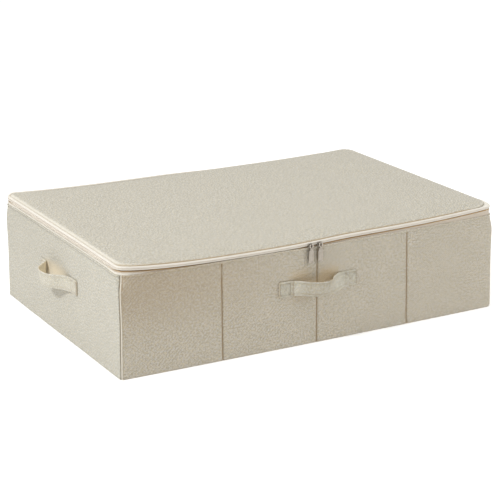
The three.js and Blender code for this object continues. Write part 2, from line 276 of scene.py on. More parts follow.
def cloth_material(name, color, dark, thread=1.5, twill=0.35, grain=1.0, painted_shade=True, rough=0.92, depth=0.35,
                   shade=None, twill_pitch=4.6, warm_shade_color=None, slubs=0.9):
    """Linen-look woven cloth: plain weave, slubs along both threads, faint twill lines and soft mottling."""
    m = Nodes(name)
    uv = m.uv()
    x, y, _ = m.sep(uv)
    wob = m.noise(m.mapping(uv, (1, 1, 1)), 180.0, 1.0)
    wx = m.math("MULTIPLY_ADD", wob, 0.0009, x)
    wy = m.math("MULTIPLY_ADD", wob, 0.0009, y)
    k = math.pi / (thread * 0.001)
    su, sv = m.math("SINE", m.math("MULTIPLY", wx, k)), m.math("SINE", m.math("MULTIPLY", wy, k))
    weave = m.math("MULTIPLY", su, sv)                                   # -1..1, one bump for each crossing
    slub_u = m.noise(m.mapping(uv, (90, 700, 1)), 1.0, 2.0, 0.6)
    slub_v = m.noise(m.mapping(uv, (700, 90, 1), loc=(3, 7, 0)), 1.0, 2.0, 0.6)
    slub = m.math("ADD", slub_u, slub_v)                                 # about 0..2
    mott = m.noise(uv, 26.0, 3.0, 0.6)
    fine = m.noise(uv, 400.0, 1.0, 0.5)
    hue = m.noise(m.mapping(uv, (1, 1, 1), loc=(9, 2, 0)), 300.0, 1.0, 0.5)
    diag = m.math("SINE", m.math("MULTIPLY", m.math("SUBTRACT", wx, wy), 2 * math.pi / (twill_pitch * 0.001) / math.sqrt(2)))
    patch = m.remap(m.noise(uv, 9.0, 2.0, 0.5), 0.42, 0.62, 0.25, 1.0)
    f = m.math("MULTIPLY_ADD", weave, 0.40 * grain, 0.5)
    f = m.math("MULTIPLY_ADD", m.math("SUBTRACT", slub, 1.0), slubs * grain, f)
    f = m.math("MULTIPLY_ADD", m.math("SUBTRACT", fine, 0.5), 3.2 * grain, f)
    f = m.math("MULTIPLY_ADD", m.math("MULTIPLY", diag, patch), 0.2 * twill, f)
    f = m.math("MULTIPLY_ADD", m.math("SUBTRACT", mott, 0.5), 0.35, f, clamp=True)
    tan = tuple(c * k for c, k in zip(color[:3], (1.0, 0.955, 0.83))) + (1,)
    cool = tuple(c * k for c, k in zip(color[:3], (0.965, 1.01, 1.10))) + (1,)
    lit = m.mix(m.remap(hue, 0.36, 0.64, 0.0, 1.0), tan, cool)           # warm and cool yarns mixed
    col = m.mix(f, dark, lit)
    # painted shade: an attribute darkens the cloth toward the shade colour in grooves, seams, under hems, at strap ends
    # and over broad patches where shade falls
    if painted_shade:
        c = m.attr("painted_shade")
        col = m.mix(m.math("MINIMUM", c, 1.0), col, shade or srgb(164, 140, 104))
    h = m.math("MULTIPLY_ADD", weave, 0.5, m.math("MULTIPLY", slub, 0.55))
    h = m.math("MULTIPLY_ADD", diag, 0.28 * twill, h)
    if painted_shade:
        warm_shade = m.attr("warm_shade")                                          # painted warm shade: darker and warmer on the front wall, lighter and warmer on the end walls and the strap insides, standing in for warm bounce light in the shade
        col = m.mix(m.math("MINIMUM", warm_shade, 1.0), col, warm_shade_color or srgb(140, 119, 86))
        col = m.mix(m.math("MINIMUM", m.attr("painted_highlight"), 1.0), col, srgb(222, 217, 205))   # painted highlight: raised edges and slopes that face the light made lighter
    m.set(Base_Color=col, Roughness=rough, Sheen_Weight=0.12, Sheen_Roughness=0.6, Specular_IOR_Level=0.25,
          Normal=m.bump(h, 0.55, depth * 0.001))
    return m.mat


def tape_material():
    m = Nodes("tape_ivory")
    uv = m.uv()
    x, y, _ = m.sep(uv)
    zig = m.math("ABSOLUTE", m.math("SINE", m.math("MULTIPLY", y, math.pi / 0.0016)))
    herr = m.math("SINE", m.math("MULTIPLY_ADD", zig, 1.6, m.math("MULTIPLY", x, 2 * math.pi / 0.0011)))
    n = m.noise(m.mapping(uv, (300, 900, 1)), 1.0, 2.0, 0.6)
    soft = m.noise(uv, 40.0, 2.0)
    f = m.math("MULTIPLY_ADD", herr, 0.12, m.math("MULTIPLY_ADD", n, 0.5, 0.22))
    f = m.math("MULTIPLY_ADD", m.math("SUBTRACT", soft, 0.5), 0.25, f, clamp=True)
    col = m.mix(f, srgb(203, 198, 187), srgb(224, 219, 209))
    # painted shade: tan lines where the tape turns into grooves and seams, and a tan tone where it lies in shade
    col = m.mix(m.math("MINIMUM", m.attr("painted_shade"), 1.0), col, srgb(166, 140, 108))
    m.set(Base_Color=col, Roughness=0.8, Sheen_Weight=0.15, Sheen_Roughness=0.5, Specular_IOR_Level=0.3,
          Normal=m.bump(m.math("MULTIPLY_ADD", herr, 0.4, n), 0.5, 0.0002))
    return m.mat


def thread_material(name, a, b, rough=0.7):
    m = Nodes(name)
    o = m.obj()
    n = m.noise(o, 420.0, 2.0, 0.6)
    tw = m.math("SINE", m.math("MULTIPLY", m.math("ADD", m.sep(o)[0], m.math("ADD", m.sep(o)[1], m.sep(o)[2])), 9000.0))
    m.set(Base_Color=m.mix(n, a, b), Roughness=rough, Specular_IOR_Level=0.3, Sheen_Weight=0.1,
          Normal=m.bump(m.math("MULTIPLY_ADD", tw, 0.5, n), 0.4, 0.0001))
    return m.mat


def coil_material():
    m = Nodes("coil_nylon")
    o = m.obj()
    n = m.noise(o, 260.0, 2.0, 0.5)
    col = m.mix(n, srgb(222, 212, 197), srgb(240, 232, 218))
    # painted warm shade: the coil turns tan where it lies in the zip's shadowed gap along the front
    col = m.mix(m.attr("painted_shade"), col, srgb(214, 178, 124))
    m.set(Base_Color=col, Roughness=0.42, Specular_IOR_Level=0.5,
          Normal=m.bump(n, 0.2, 0.0001))
    return m.mat


def nickel_material():
    m = Nodes("nickel")
    o = m.obj()
    cloud = m.noise(o, 240.0, 3.0, 0.6)
    scratch = m.noise(m.mapping(o, (4200, 4200, 160), rot=0.3), 1.0, 3.0, 0.7)
    painted_edge_dark = m.attr("edge")
    col = m.mix(cloud, srgb(158, 150, 139), srgb(196, 188, 176))
    # painted dark reflection along the metal's sharp edges
    col = m.mix(m.math("MULTIPLY", painted_edge_dark, 0.95), col, srgb(60, 50, 40))
    rough = m.math("MULTIPLY_ADD", scratch, 0.16, 0.16)
    m.set(Base_Color=col, Metallic=1.0, Roughness=rough, Normal=m.bump(scratch, 0.12, 0.00005))
    return m.mat


def nonwoven_material(name, a, b, scale=1.0):
    """Spun-bonded lining: flat fibres with a fine grid of bonding dimples."""
    m = Nodes(name)
    uv = m.uv()
    x, y, _ = m.sep(uv)
    k = 2 * math.pi / (0.0024 * scale)
    dots = m.math("MULTIPLY", m.math("SINE", m.math("MULTIPLY", m.math("ADD", x, y), k * 0.7071)),
                  m.math("SINE", m.math("MULTIPLY", m.math("SUBTRACT", x, y), k * 0.7071)))
    fibre = m.noise(m.mapping(uv, (260, 900, 1), rot=0.6), 1.0, 3.0, 0.7, 1.5)
    big = m.noise(uv, 14.0, 3.0)
    f = m.math("MULTIPLY_ADD", dots, 0.16, m.math("MULTIPLY_ADD", fibre, 0.6, 0.2))
    f = m.math("MULTIPLY_ADD", m.math("SUBTRACT", big, 0.5), 0.4, f, clamp=True)
    m.set(Base_Color=m.mix(f, a, b), Roughness=0.95, Specular_IOR_Level=0.2, Sheen_Weight=0.08,
          Normal=m.bump(m.math("MULTIPLY_ADD", dots, 0.6, fibre), 0.45, 0.0002))
    return m.mat


def board_material():
    m = Nodes("stiffener_board")
    o = m.obj()
    speck = m.noise(o, 900.0, 3.0, 0.7)
    fleck = m.voronoi(o, 320.0)
    layer = m.math("SINE", m.math("MULTIPLY", m.sep(o)[2], 5200.0))
    f = m.math("MULTIPLY_ADD", fleck, 0.5, m.math("MULTIPLY", speck, 0.6), clamp=True)
    m.set(Base_Color=m.mix(f, srgb(150, 138, 118), srgb(192, 180, 158)), Roughness=0.9, Specular_IOR_Level=0.2,
          Normal=m.bump(m.math("MULTIPLY_ADD", layer, 0.1, speck), 0.4, 0.0002))
    return m.mat


def foam_material():
    m = Nodes("padding_fibre")
    o = m.obj()
    a = m.noise(o, 160.0, 4.0, 0.7, 2.0)
    b = m.noise(o, 900.0, 2.0, 0.7)
    m.set(Base_Color=m.mix(a, srgb(224, 219, 208), srgb(244, 241, 234)), Roughness=0.97, Specular_IOR_Level=0.15,
          Sheen_Weight=0.3, Sheen_Roughness=0.7, Normal=m.bump(m.math("MULTIPLY_ADD", b, 0.5, a), 0.6, 0.0008))
    return m.mat


M = {
    # each cloth's shade colour is the colour of its painted shade; its warm colour is painted warm shade, darker than
    # the cloth on the front and back walls and lighter on the end walls and straps, standing in for bounce light
    "wall": cloth_material("fabric_wall", srgb(199, 192, 179), srgb(157, 149, 132), 1.9, 0.9, 0.9, warm_shade_color=srgb(192, 168, 128), shade=srgb(150, 128, 96)),
    "side": cloth_material("fabric_side", srgb(198, 194, 183), srgb(159, 155, 143), 1.9, 0.35, 0.85, warm_shade_color=srgb(226, 214, 190), shade=srgb(112, 104, 84)),
    "lid": cloth_material("fabric_lid", srgb(194, 189, 177), srgb(154, 149, 136), 1.9, 0.35, 1.35, slubs=1.2),
    "strap": cloth_material("strap_cloth", srgb(200, 196, 183), srgb(165, 160, 145), 1.7, 0.6, 0.8, twill_pitch=3.4,
                            depth=0.3, warm_shade_color=srgb(240, 228, 202), shade=srgb(124, 104, 76)),
    "tape": tape_material(),
    "thread": thread_material("thread_ivory", srgb(190, 181, 164), srgb(216, 208, 192)),
    "thread_tan": thread_material("thread_tan", srgb(140, 118, 88), srgb(176, 152, 116)),
    "thread_band": thread_material("thread_band", srgb(176, 162, 150), srgb(204, 192, 180)),
    "thread_handle": thread_material("thread_handle", srgb(146, 135, 116), srgb(172, 161, 141)),
    "coil": coil_material(),
    "nickel": nickel_material(),
    "lining": nonwoven_material("lining_nonwoven", srgb(186, 180, 166), srgb(212, 206, 194)),
    "base": nonwoven_material("base_board_cloth", srgb(182, 175, 160), srgb(207, 201, 187), 1.4),
    "board": board_material(),
    "foam": foam_material(),
}


# ------------------------------------------------------------------ mesh helpers
def mesh_object(name, co, faces, mat, uv=None, attrs=None, recalc=True):
    co = np.array(co, float).reshape(-1, 3)
    # the left end leans out at its top, and its front corner stands out a little
    co[:, 0] -= smooth(-240, -345, co[:, 0]) * (1.8 * smooth(80, 160, co[:, 2]) + 1.5 * smooth(-60, -215, co[:, 1]) * (co[:, 2] > -0.1))
    # the right wall's cloth bellies out a little below the rim
    co[:, 0] += 1.8 * smooth(325, 346, co[:, 0]) * (1 - smooth(146, 166, co[:, 2])) * (co[:, 2] > 3)
    me = bpy.data.meshes.new(name)
    me.from_pydata((co * 0.001).tolist(), [], faces)
    me.update()
    if uv is not None:
        uv = np.asarray(uv, float).reshape(-1, 2) * 0.001
        layer = me.uv_layers.new(name="UVMap")
        idx = np.zeros(len(me.loops), np.int32)
        me.loops.foreach_get("vertex_index", idx)
        layer.data.foreach_set("uv", uv[idx].astype(np.float32).ravel())
    for key, values in (attrs or {}).items():
        a = me.attributes.new(key, "FLOAT", "POINT")
        a.data.foreach_set("value", np.asarray(values, np.float32).ravel())
    if recalc:
        bm = bmesh.new()
        bm.from_mesh(me)
        bmesh.ops.recalc_face_normals(bm, faces=bm.faces)
        bm.to_mesh(me)
        bm.free()
    me.polygons.foreach_set("use_smooth", [True] * len(me.polygons))
    me.materials.append(mat)
    ob = bpy.data.objects.new(name, me)
    bpy.context.scene.collection.objects.link(ob)
    return ob


def shell(name, outer, inner, mat, uv=None, painted_shade=None, closed=False, warm_shade=None, inner_warm_shade=None, painted_highlight=None):
    """A closed thin solid between two grids of points, (n, m, 3) each. closed: the first index runs round."""
    outer, inner = np.asarray(outer, float), np.asarray(inner, float)
    nu, nv = outer.shape[:2]
    base = nu * nv
    faces = []
    ring = nu if closed else nu - 1
    for i in range(ring):
        a, b = i * nv, ((i + 1) % nu) * nv
        for j in range(nv - 1):
            faces.append((a + j, b + j, b + j + 1, a + j + 1))
            faces.append((base + a + j + 1, base + b + j + 1, base + b + j, base + a + j))
        faces.append((a, base + a, base + b, b))
        k = nv - 1
        faces.append((a + k, b + k, base + b + k, base + a + k))
    if not closed:
        for j in range(nv - 1):
            faces.append((j, j + 1, base + j + 1, base + j))
            e = (nu - 1) * nv
            faces.append((e + j + 1, e + j, base + e + j, base + e + j + 1))
    co = np.concatenate([outer.reshape(-1, 3), inner.reshape(-1, 3)])
    if uv is not None:
        uv = np.concatenate([np.asarray(uv, float).reshape(-1, 2)] * 2)
    if painted_shade is None:
        painted_shade = np.zeros((nu, nv))
    painted_shade = np.concatenate([np.asarray(painted_shade, float).ravel(), np.zeros(base)])
    attrs = {"painted_shade": painted_shade}
    if painted_highlight is not None:
        attrs["painted_highlight"] = np.concatenate([np.asarray(painted_highlight, float).ravel(), np.zeros(base)])
    if warm_shade is not None or inner_warm_shade is not None:
        attrs["warm_shade"] = np.concatenate([(np.zeros((nu, nv)) if v is None else np.asarray(v, float)).ravel() for v in (warm_shade, inner_warm_shade)])
    return mesh_object(name, co, faces, mat, uv, attrs)


def tube(name, centre, side, up, radius, mat, k=6, closed=False, painted_shade=None):
    """A tube round a line of points; side and up span its section."""
    centre, side, up = (np.asarray(v, float) for v in (centre, side, up))
    n = len(centre)
    r = np.broadcast_to(np.asarray(radius, float), (n,))
    ang = np.arange(k) * 2 * math.pi / k
    co = centre[:, None] + r[:, None, None] * (np.cos(ang)[None, :, None] * side[:, None] + np.sin(ang)[None, :, None] * up[:, None])
    faces = []
    for i in range(n if closed else n - 1):
        a, b = i * k, ((i + 1) % n) * k
        for j in range(k):
            faces.append((a + j, a + (j + 1) % k, b + (j + 1) % k, b + j))
    if not closed:
        faces.append(tuple(range(k)))
        faces.append(tuple(reversed(range((n - 1) * k, n * k))))
    uv = np.stack(np.broadcast_arrays(np.arange(n)[:, None] * 0.7, ang[None, :]), -1)
    tint = np.zeros(n) if painted_shade is None else np.asarray(painted_shade, float)
    return mesh_object(name, co, faces, mat, uv, {"painted_shade": np.repeat(tint, k)})


def stitch_row(name, pts, dirs, outs, mat, length=2.3, radius=0.3, lift=0.1):
    """Sewing stitches: one small rounded bar for each point, lying along dirs and standing a little out."""
    pts, dirs, outs = (np.asarray(v, float).reshape(-1, 3) for v in (pts, dirs, outs))
    n = len(pts)
    dirs = dirs / np.linalg.norm(dirs, axis=1)[:, None]
    outs = outs / np.linalg.norm(outs, axis=1)[:, None]
    side = np.cross(dirs, outs)
    rings = [(-0.5, 0.0, -0.5), (-0.36, 0.8, 0.0), (0.0, 1.0, 0.35), (0.36, 0.8, 0.0), (0.5, 0.0, -0.5)]
    k = 5
    co, faces = [], []
    ang = np.arange(k) * 2 * math.pi / k
    per = 3 * k + 2
    for t, r, out in rings:
        c = pts + dirs * (t * length) + outs * (lift + out * radius)
        if r == 0:
            co.append(c[:, None])
        else:
            co.append(c[:, None] + r * radius * (np.cos(ang)[None, :, None] * side[:, None] + np.sin(ang)[None, :, None] * outs[:, None]))
    co = np.concatenate(co, axis=1)          # tip, ring, ring, ring, tip
    for q in range(n):
        o = q * per
        for j in range(k):
            j2 = (j + 1) % k
            faces.append((o, o + 1 + j2, o + 1 + j))
            faces.append((o + 1 + j, o + 1 + j2, o + 1 + k + j2, o + 1 + k + j))
            faces.append((o + 1 + k + j, o + 1 + k + j2, o + 1 + 2 * k + j2, o + 1 + 2 * k + j))
            faces.append((o + 1 + 2 * k + j, o + 1 + 2 * k + j2, o + per - 1))
    return mesh_object(name, co, faces, mat)


def join(name, objects):
    bpy.ops.object.select_all(action="DESELECT")
    for o in objects:
        o.select_set(True)
    bpy.context.view_layer.objects.active = objects[0]
    bpy.ops.object.join()
    objects[0].name = name
    objects[0].data.name = name
    return objects[0]


# ------------------------------------------------------------------ the rim's path
def rim(end=None, step=6.0, arc=12, inset=0.0):
    """Points round the rim and their outward normals, clockwise from the back's right part.
    end: where the path stops on the back, each side; without it the path closes on itself."""
    pts, nrm = [], []

    def line(a, b, n, skip):
        count = max(1, int(math.ceil(np.linalg.norm(np.subtract(b, a)) / step)))
        for i in range(1 if skip else 0, count + 1):
            pts.append(np.add(a, np.subtract(b, a) * i / count))
            nrm.append(n)

    def turn(sx, sy, a0):
        r = RIM_CORNER[sx, sy]
        for i in range(1, arc):
            a = math.radians(a0 - 90 * i / arc)
            d = (math.cos(a), math.sin(a))
            pts.append((sx * (HX - r) + r * d[0], sy * (HY - r) + r * d[1]))
            nrm.append(d)
    e = 0.0 if end is None else end
    br, fr, fl, bl = (RIM_CORNER[k] for k in ((1, 1), (1, -1), (-1, -1), (-1, 1)))
    line((e, HY), (HX - br, HY), (0, 1), False)
    turn(1, 1, 90)
    line((HX, HY - br), (HX, -(HY - fr)), (1, 0), False)
    turn(1, -1, 0)
    line((HX - fr, -HY), (-(HX - fl), -HY), (0, -1), False)
    turn(-1, -1, -90)
    line((-HX, -(HY - fl)), (-HX, HY - bl), (-1, 0), False)
    turn(-1, 1, 180)
    line((-(HX - bl), HY), (-e, HY), (0, 1), False)
    pts, nrm = np.array(pts, float), np.array(nrm, float)
    if end is None:
        pts, nrm = pts[:-1], nrm[:-1]
    s = np.concatenate([[0], np.cumsum(np.linalg.norm(np.diff(pts, axis=0), axis=1))])
    return pts, nrm, s


def band(name, path, outer, inner, mat, closed, painted_shade=None):
    """Sweep an open profile and its inner twin along the rim. outer(z0) and inner(z0) give lists of (n, z)."""
    pts, nrm, s = path
    z0 = ZIP - sag(pts[:, 0], pts[:, 1])

    def surface(profile):
        cols = profile(z0)
        grid = np.zeros((len(pts), len(cols), 3))
        for j, (n, z) in enumerate(cols):
            n = np.asarray(n, float)
            grid[:, j, 0] = pts[:, 0] + nrm[:, 0] * n
            grid[:, j, 1] = pts[:, 1] + nrm[:, 1] * n
            grid[:, j, 2] = z
        return grid
    o, i = surface(outer), surface(inner)
    run = np.concatenate([np.zeros((len(pts), 1)), np.cumsum(np.linalg.norm(np.diff(o, axis=1), axis=2), axis=1)], axis=1)
    uv = np.stack([np.broadcast_to(s[:, None], run.shape), run], -1)
    c = None if painted_shade is None else np.clip(painted_shade if np.ndim(painted_shade) == 2 else np.broadcast_to(np.array(painted_shade, float)[None, :], run.shape), 0, 1)
    return shell(name, o, i, mat, uv, c, closed)


# ------------------------------------------------------------------ wall fabric
SEAMS = (-175.0, 0.0, 175.0)
WORLD = {
    "front": lambda s, n: (s, -(HY + n)),
    "back": lambda s, n: (-s, HY + n),
    "left": lambda s, n: (-(HX + n), -s),
    "right": lambda s, n: (HX + n, s),
}


def to_world(side, s, n, z):
    x, y = WORLD[side](s, n)
    x, y, z = np.broadcast_arrays(np.asarray(x, float), y, z)
    foot = 2.8 * smooth(150, 350, x) * (1 - smooth(0, 105, z)) * (z >= 0)      # the right end stands out a little at its foot
    return np.stack([x + foot, y, z], -1)


def corner_of(side, s):
    """Which corner of the box the end of a wall on the side of s belongs to."""
    g = 1 if s >= 0 else -1
    return {"front": (g, -1), "back": (-g, 1), "left": (-1, -g), "right": (1, g)}[side]


def corner_radius(corner, z):
    """Plan radius of a wall corner at a height: tight, opening to the rim's radius under the hem."""
    top = RIM_CORNER[corner]
    if corner == (1, -1):
        return 7.5 + 4.5 * np.clip(z / 130.0, 0, 1) + (top - 12.0) * smooth(136, 163.5, z)
    return 5.0 + (top - 5.0) * smooth(136, 163.5, z)


SEAM_AT = [-326, -175, 0, 175, 326]
SEAM_FOOT = [0, -0.3, -2.7, 0.0, 0]
SEAM_LEAN = [0, -3.0, -1.2, -5.6, 0]


def lean(side, s, z):
    """The front's fold seams lean a little to the left towards the rim."""
    if side != "front":
        return 0.0 * s
    return np.interp(s, SEAM_AT, SEAM_FOOT) + np.interp(s, SEAM_AT, SEAM_LEAN) * np.clip(z / 164.0, 0, 1)


def bow(side, s, z):
    """The wall's soft outward belly: none at the rim and the corners."""
    half, rise = (HX, 2.6) if side in ("front", "back") else (HY, 1.2)
    u = np.clip(np.abs(s) / half, 0, 1)
    v = np.clip(1 - (np.clip(z, 0, 170) / 170.0) ** 2, 0, 1)
    return rise * (1 - u ** 2) * v


PULLS = [(-346, 99, -306, 152, 6.5, 1.1), (-201, 80, -181, 130, 6.0, 0.8), (-78, 118, -112, 162, 6.0, 0.6), (74, 116, 58, 160, 4.5, 0.55),
         (96, 108, 150, 66, 8.0, 0.6), (-150, 150, -96, 92, 8.0, 0.5), (262, 158, 322, 96, 9.0, 0.5), (-128, 60, -60, 22, 8.0, 0.45)]


def pulls(side, s, z):
    """Faint drawn lines where the front's cloth is pulled by a corner or a handle: (s, z) to (s, z), width, depth."""
    d = 0.0 * (s + z)
    if side != "front":
        return d
    for s0, z0, s1, z1, width, depth in PULLS:
        L = math.hypot(s1 - s0, z1 - z0)
        t = ((s - s0) * (s1 - s0) + (z - z0) * (z1 - z0)) / L ** 2
        off = ((s - s0) * (z1 - z0) - (z - z0) * (s1 - s0)) / L
        d = d + depth * (0.6 * np.exp(-((off - 1.3 * width) / width) ** 2) - np.exp(-(off / width) ** 2)) * smooth(-0.15, 0.3, t) * (1 - smooth(0.75, 1.1, t))
    return d


def wall_offset(side, s, z, zh):
    d = bow(side, s, z)
    long = side in ("front", "back")
    half = HX if long else HY
    fade = smooth(0, 14, z) * smooth(0, 16, zh - z) * smooth(0, 30, half - np.abs(s))
    d = d + waves(s, z, {"front": 5, "back": 6, "left": 7, "right": 8}[side], 6, 90, 260, 0.34) * fade + pulls(side, s, z) * fade
    if long:
        top = smooth(1.5, 5.0, zh - z)
        near = np.min(np.abs(s[..., None] - np.array(SEAMS)), axis=-1)
        groove = np.exp(-(near / 1.25) ** 2)
        shoulder = np.exp(-((near - 3.2) / 1.7) ** 2)
        puff = 1 - np.exp(-(near / 22.0) ** 2)
        d = d - 1.6 * groove * top + 0.22 * shoulder * top + 0.9 * (puff - 1) * fade
    return d


def painted_handle_shade(side, s, z):
    """Shade painted on the wall behind and around each handle. It is a tone, not wear, and stays put when a strap lifts."""
    if side == "back":
        return np.zeros(np.broadcast(s, z).shape)
    if side == "front":
        a = 0.45 * np.exp(-((s + 33) / 20) ** 4) * np.exp(-((z - 118) / 9) ** 2)
        a = a + 0.5 * np.exp(-((s - 22) / 19) ** 4) * np.exp(-((z - 116) / 9) ** 2)
        a = a + 0.12 * np.exp(-((s + 33) / 20) ** 4) * np.exp(-((z - 79) / 7) ** 4)
        return a + 0.45 * np.exp(-((s + 2) / 42) ** 4) * np.exp(-((z - 99) / 13) ** 4)
    # on the end walls this tone is lighter than the cloth: painted warm light behind the strap
    back = -1 if side == "left" else 1
    return np.maximum(0.75 * np.exp(-((s - back * 8) / 36) ** 4) * np.exp(-((z - 104) / 14) ** 4),
                      np.exp(-((s - back * 45) / 8) ** 4) * np.exp(-((z - 103) / 13) ** 4))


def wall(side):
    half = HX if side in ("front", "back") else HY
    flat = half - RIM_R
    keys = [-flat]
    if half == HX:
        for c in SEAMS:
            keys += [c + o for o in (-9, -6, -4, -2.8, -2, -1.4, -0.9, -0.45, 0, 0.45, 0.9, 1.4, 2, 2.8, 4, 6, 9)]
    keys.append(flat)
    mid = stations(keys, 7.5)
    frac = np.array([0.06, 0.14, 0.24, 0.34, 0.44, 0.53, 0.61, 0.68, 0.745, 0.8, 0.845, 0.885, 0.915, 0.94, 0.96, 0.978, 0.99, 1.0])
    # station list: (sign, straight position or None, fraction)
    sign = np.concatenate([-np.ones(len(frac)), np.zeros(len(mid)), np.ones(len(frac))])
    f = np.concatenate([frac[::-1], np.zeros(len(mid)), frac])
    base = np.concatenate([np.full(len(frac), -flat), mid, np.full(len(frac), flat)])
    # rows: height above the floor, then measured down from the hem
    low = np.array([0.25, 0.7, 1.3, 2.0, 3.2, 5, 8, 12])
    drop = np.array([26, 23, 20, 17.5, 15, 12.5, 10.5, 8.5, 7, 6, 5.2, 4.6, 4.1, 3.7, 3.3, 2.9, 2.4, 1.9, 1.4, 0.95, 0.55, 0.25, 0.06, 0.0])
    body = stations([12, 138], 6.3)[1:]
    x_for_hem = np.abs(base)
    zh = hem_height(np.minimum(x_for_hem, 335), side) if half == HX else 166.3 + 1.2 * smooth(0, 34, flat - np.abs(base))
    zh = np.where(f > 0, 166.3 if half != HX else hem_height(np.full(len(base), 335.0), side), zh)
    rows = []
    for v in low:
        rows.append(np.full(len(base), v))
    for v in body:
        rows.append(np.full(len(base), v) * (zh - 26) / 138.0 if v > 100 else np.full(len(base), v))
    for v in drop[1:]:
        rows.append(zh - v)
    z = np.stack(rows, 1)                                       # (stations, rows)
    drop_all = zh[:, None] - z
    R = np.where(sign[:, None] >= 0, corner_radius(corner_of(side, 1), z), corner_radius(corner_of(side, -1), z))
    total = (RIM_R - R) + R * math.pi / 4
    d = f[:, None] * total
    a = np.clip((d - (RIM_R - R)) / R, 0, math.pi / 4)
    straight = np.minimum(d, RIM_R - R)
    corner = sign[:, None] != 0
    sp = np.where(corner, sign[:, None] * (flat + straight + R * np.sin(a)), base[:, None])
    npl = np.where(corner, -R + R * np.cos(a), 0.0)
    ns, nn = np.where(corner, sign[:, None] * np.sin(a), 0.0), np.where(corner, np.cos(a), 1.0)
    u = np.where(corner, sign[:, None] * (flat + d), base[:, None])
    off = wall_offset(side, sp, z, zh[:, None])
    to_end = total - d                                          # distance along the cloth to the seam
    is_corner = corner & (to_end < 12)
    painted_shade = np.zeros(z.shape)
    if half == HX:                                              # the long walls carry the ridge of the corner seam
        off = off + np.where(is_corner, 0.6 * np.exp(-((to_end - 0.9) / 0.75) ** 2) - 0.35 * np.exp(-((to_end - 3.2) / 1.0) ** 2), 0)
        # painted shade in the small dip beside the seam's ridge
        painted_shade += np.where(is_corner, 0.25 * np.exp(-((to_end - 3.4) / 0.9) ** 2), 0)
    else:                                                       # the end walls dip into it
        g = np.exp(-((to_end - 0.9) / 1.15) ** 2)
        off = off - np.where(is_corner, 1.5 * g, 0)
        # painted shade in the groove of the corner seam
        painted_shade += np.where(is_corner, 0.95 * g, 0)
    # rolled hem at the top: a bead, and a dip under it
    bead = np.clip(1 - ((drop_all - 1.3) / 1.35) ** 2, 0, 1) ** 0.5
    dip = 0.2 if half == HX else 0.45
    off = off + 0.55 * bead * (drop_all < 2.7) - dip * np.exp(-((drop_all - 3.4) / 0.7) ** 2)
    off = off - 1.0 * (1 - np.sqrt(np.clip(1 - np.clip(1 - drop_all / 0.95, 0, 1) ** 2, 0, 1)))
    # painted shadow line under the hem bead, stronger on the end walls
    painted_shade += (0.12 if half == HX else 0.4) * np.exp(-((drop_all - 3.2) / 0.8) ** 2)
    # bottom edge rolls under
    off = off - 1.6 * (1 - np.sqrt(np.clip(1 - np.clip(1 - z / 2.2, 0, 1) ** 2, 0, 1)))
    # painted shade along the bottom edge where it rolls under
    painted_shade += 0.2 * np.exp(-(z / 1.4) ** 2)
    if half == HX:
        # painted shade in the fold seams' grooves, with a faint band beside them
        near = np.min(np.abs(sp[..., None] - np.array(SEAMS)), axis=-1)
        painted_shade += 0.8 * np.exp(-(near / 0.95) ** 2) * smooth(2.0, 5.5, drop_all) + 0.12 * np.exp(-(near / 4.0) ** 2) * smooth(2, 8, drop_all)
    if side == "front":                                         # painted shade: darker high on the left, as the light falls
        painted_shade += 0.40 * smooth(25, 150, z) * (1 - smooth(-340, 30, sp))
    # painted shade: the left end a little darker high up and towards the back, as the light falls
    if side == "left":
        painted_shade += 0.08 * smooth(40, 150, z) * (1 - smooth(-150, 100, sp))
    shift = np.where(corner, 0.0, lean(side, sp, z))
    outer = to_world(side, sp + shift + ns * off, npl + nn * off, z)
    thick = 1.2
    inner = to_world(side, sp + shift + ns * (off - thick), npl + nn * (off - thick), np.clip(z, 1.2, zh[:, None] - 0.4))
    uv = np.stack([u, z], -1)
    # painted highlight along the ridge of the corner seams on the long walls
    painted_highlight = np.where(is_corner, 0.85 * np.exp(-((to_end - 1.0) / 0.8) ** 2), 0) if half == HX else 0.0 * z
    ob = shell(f"{side}_wall_cloth", outer, inner, M["wall"] if side == "front" or side == "back" else M["side"], uv,
               np.clip(painted_shade, 0, 1), warm_shade=painted_handle_shade(side, sp, z), painted_highlight=painted_highlight)
    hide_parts(f"{side}_cover")
    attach(ob, "box")
    return ob


WALLS = {side: wall(side) for side in ("front", "back", "left", "right")}


def wall_point(side, s, z, zh=166.0):
    """A point on a wall's outer face, with its outward direction."""
    s, z = np.asarray(s, float), np.asarray(z, float)
    off = wall_offset(side, s, z, np.full(s.shape, zh))
    p = to_world(side, s + lean(side, s, z), off, z)
    out = np.stack(np.broadcast_arrays(*WORLD[side](s * 0, 1.0), 0.0 * z), -1) - np.stack(np.broadcast_arrays(*WORLD[side](s * 0, 0.0), 0.0 * z), -1)
    return p, out


def bottom_panel():
    """The bottom cloth: sewn to the walls, a little hollow between them."""
    inset, r = 1.8, 4.0
    hx, hy = HX - inset, HY - inset
    xs = np.concatenate([-hx + np.array([0, 0.8, 2, 4, 7]), stations([-hx + 12, hx - 12], 22), hx - np.array([7, 4, 2, 0.8, 0])])
    ys = np.concatenate([-hy + np.array([0, 0.8, 2, 4, 7]), stations([-hy + 12, hy - 12], 22), hy - np.array([7, 4, 2, 0.8, 0])])
    X, Y = np.meshgrid(xs, ys, indexing="ij")
    X, Y = round_corners(X, Y, hx, hy, r)
    edge = np.minimum(hx - np.abs(X), hy - np.abs(Y))
    z = 0.35 + 0.45 * (1 - smooth(0, 6, edge)) + np.abs(waves(X, Y, 21, 5, 120, 300, 0.12))
    outer = np.stack([X, Y, z], -1)
    inner = np.stack([X, Y, z * 0 + 1.35], -1)
    # painted shade along the bottom cloth's edge, where it meets the walls
    ob = shell("bottom_cloth", outer, inner, M["side"], np.stack([X, Y], -1), 0.6 * (1 - smooth(0, 3, edge)))
    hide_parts("bottom_cover")
    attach(ob, "box")
    return ob


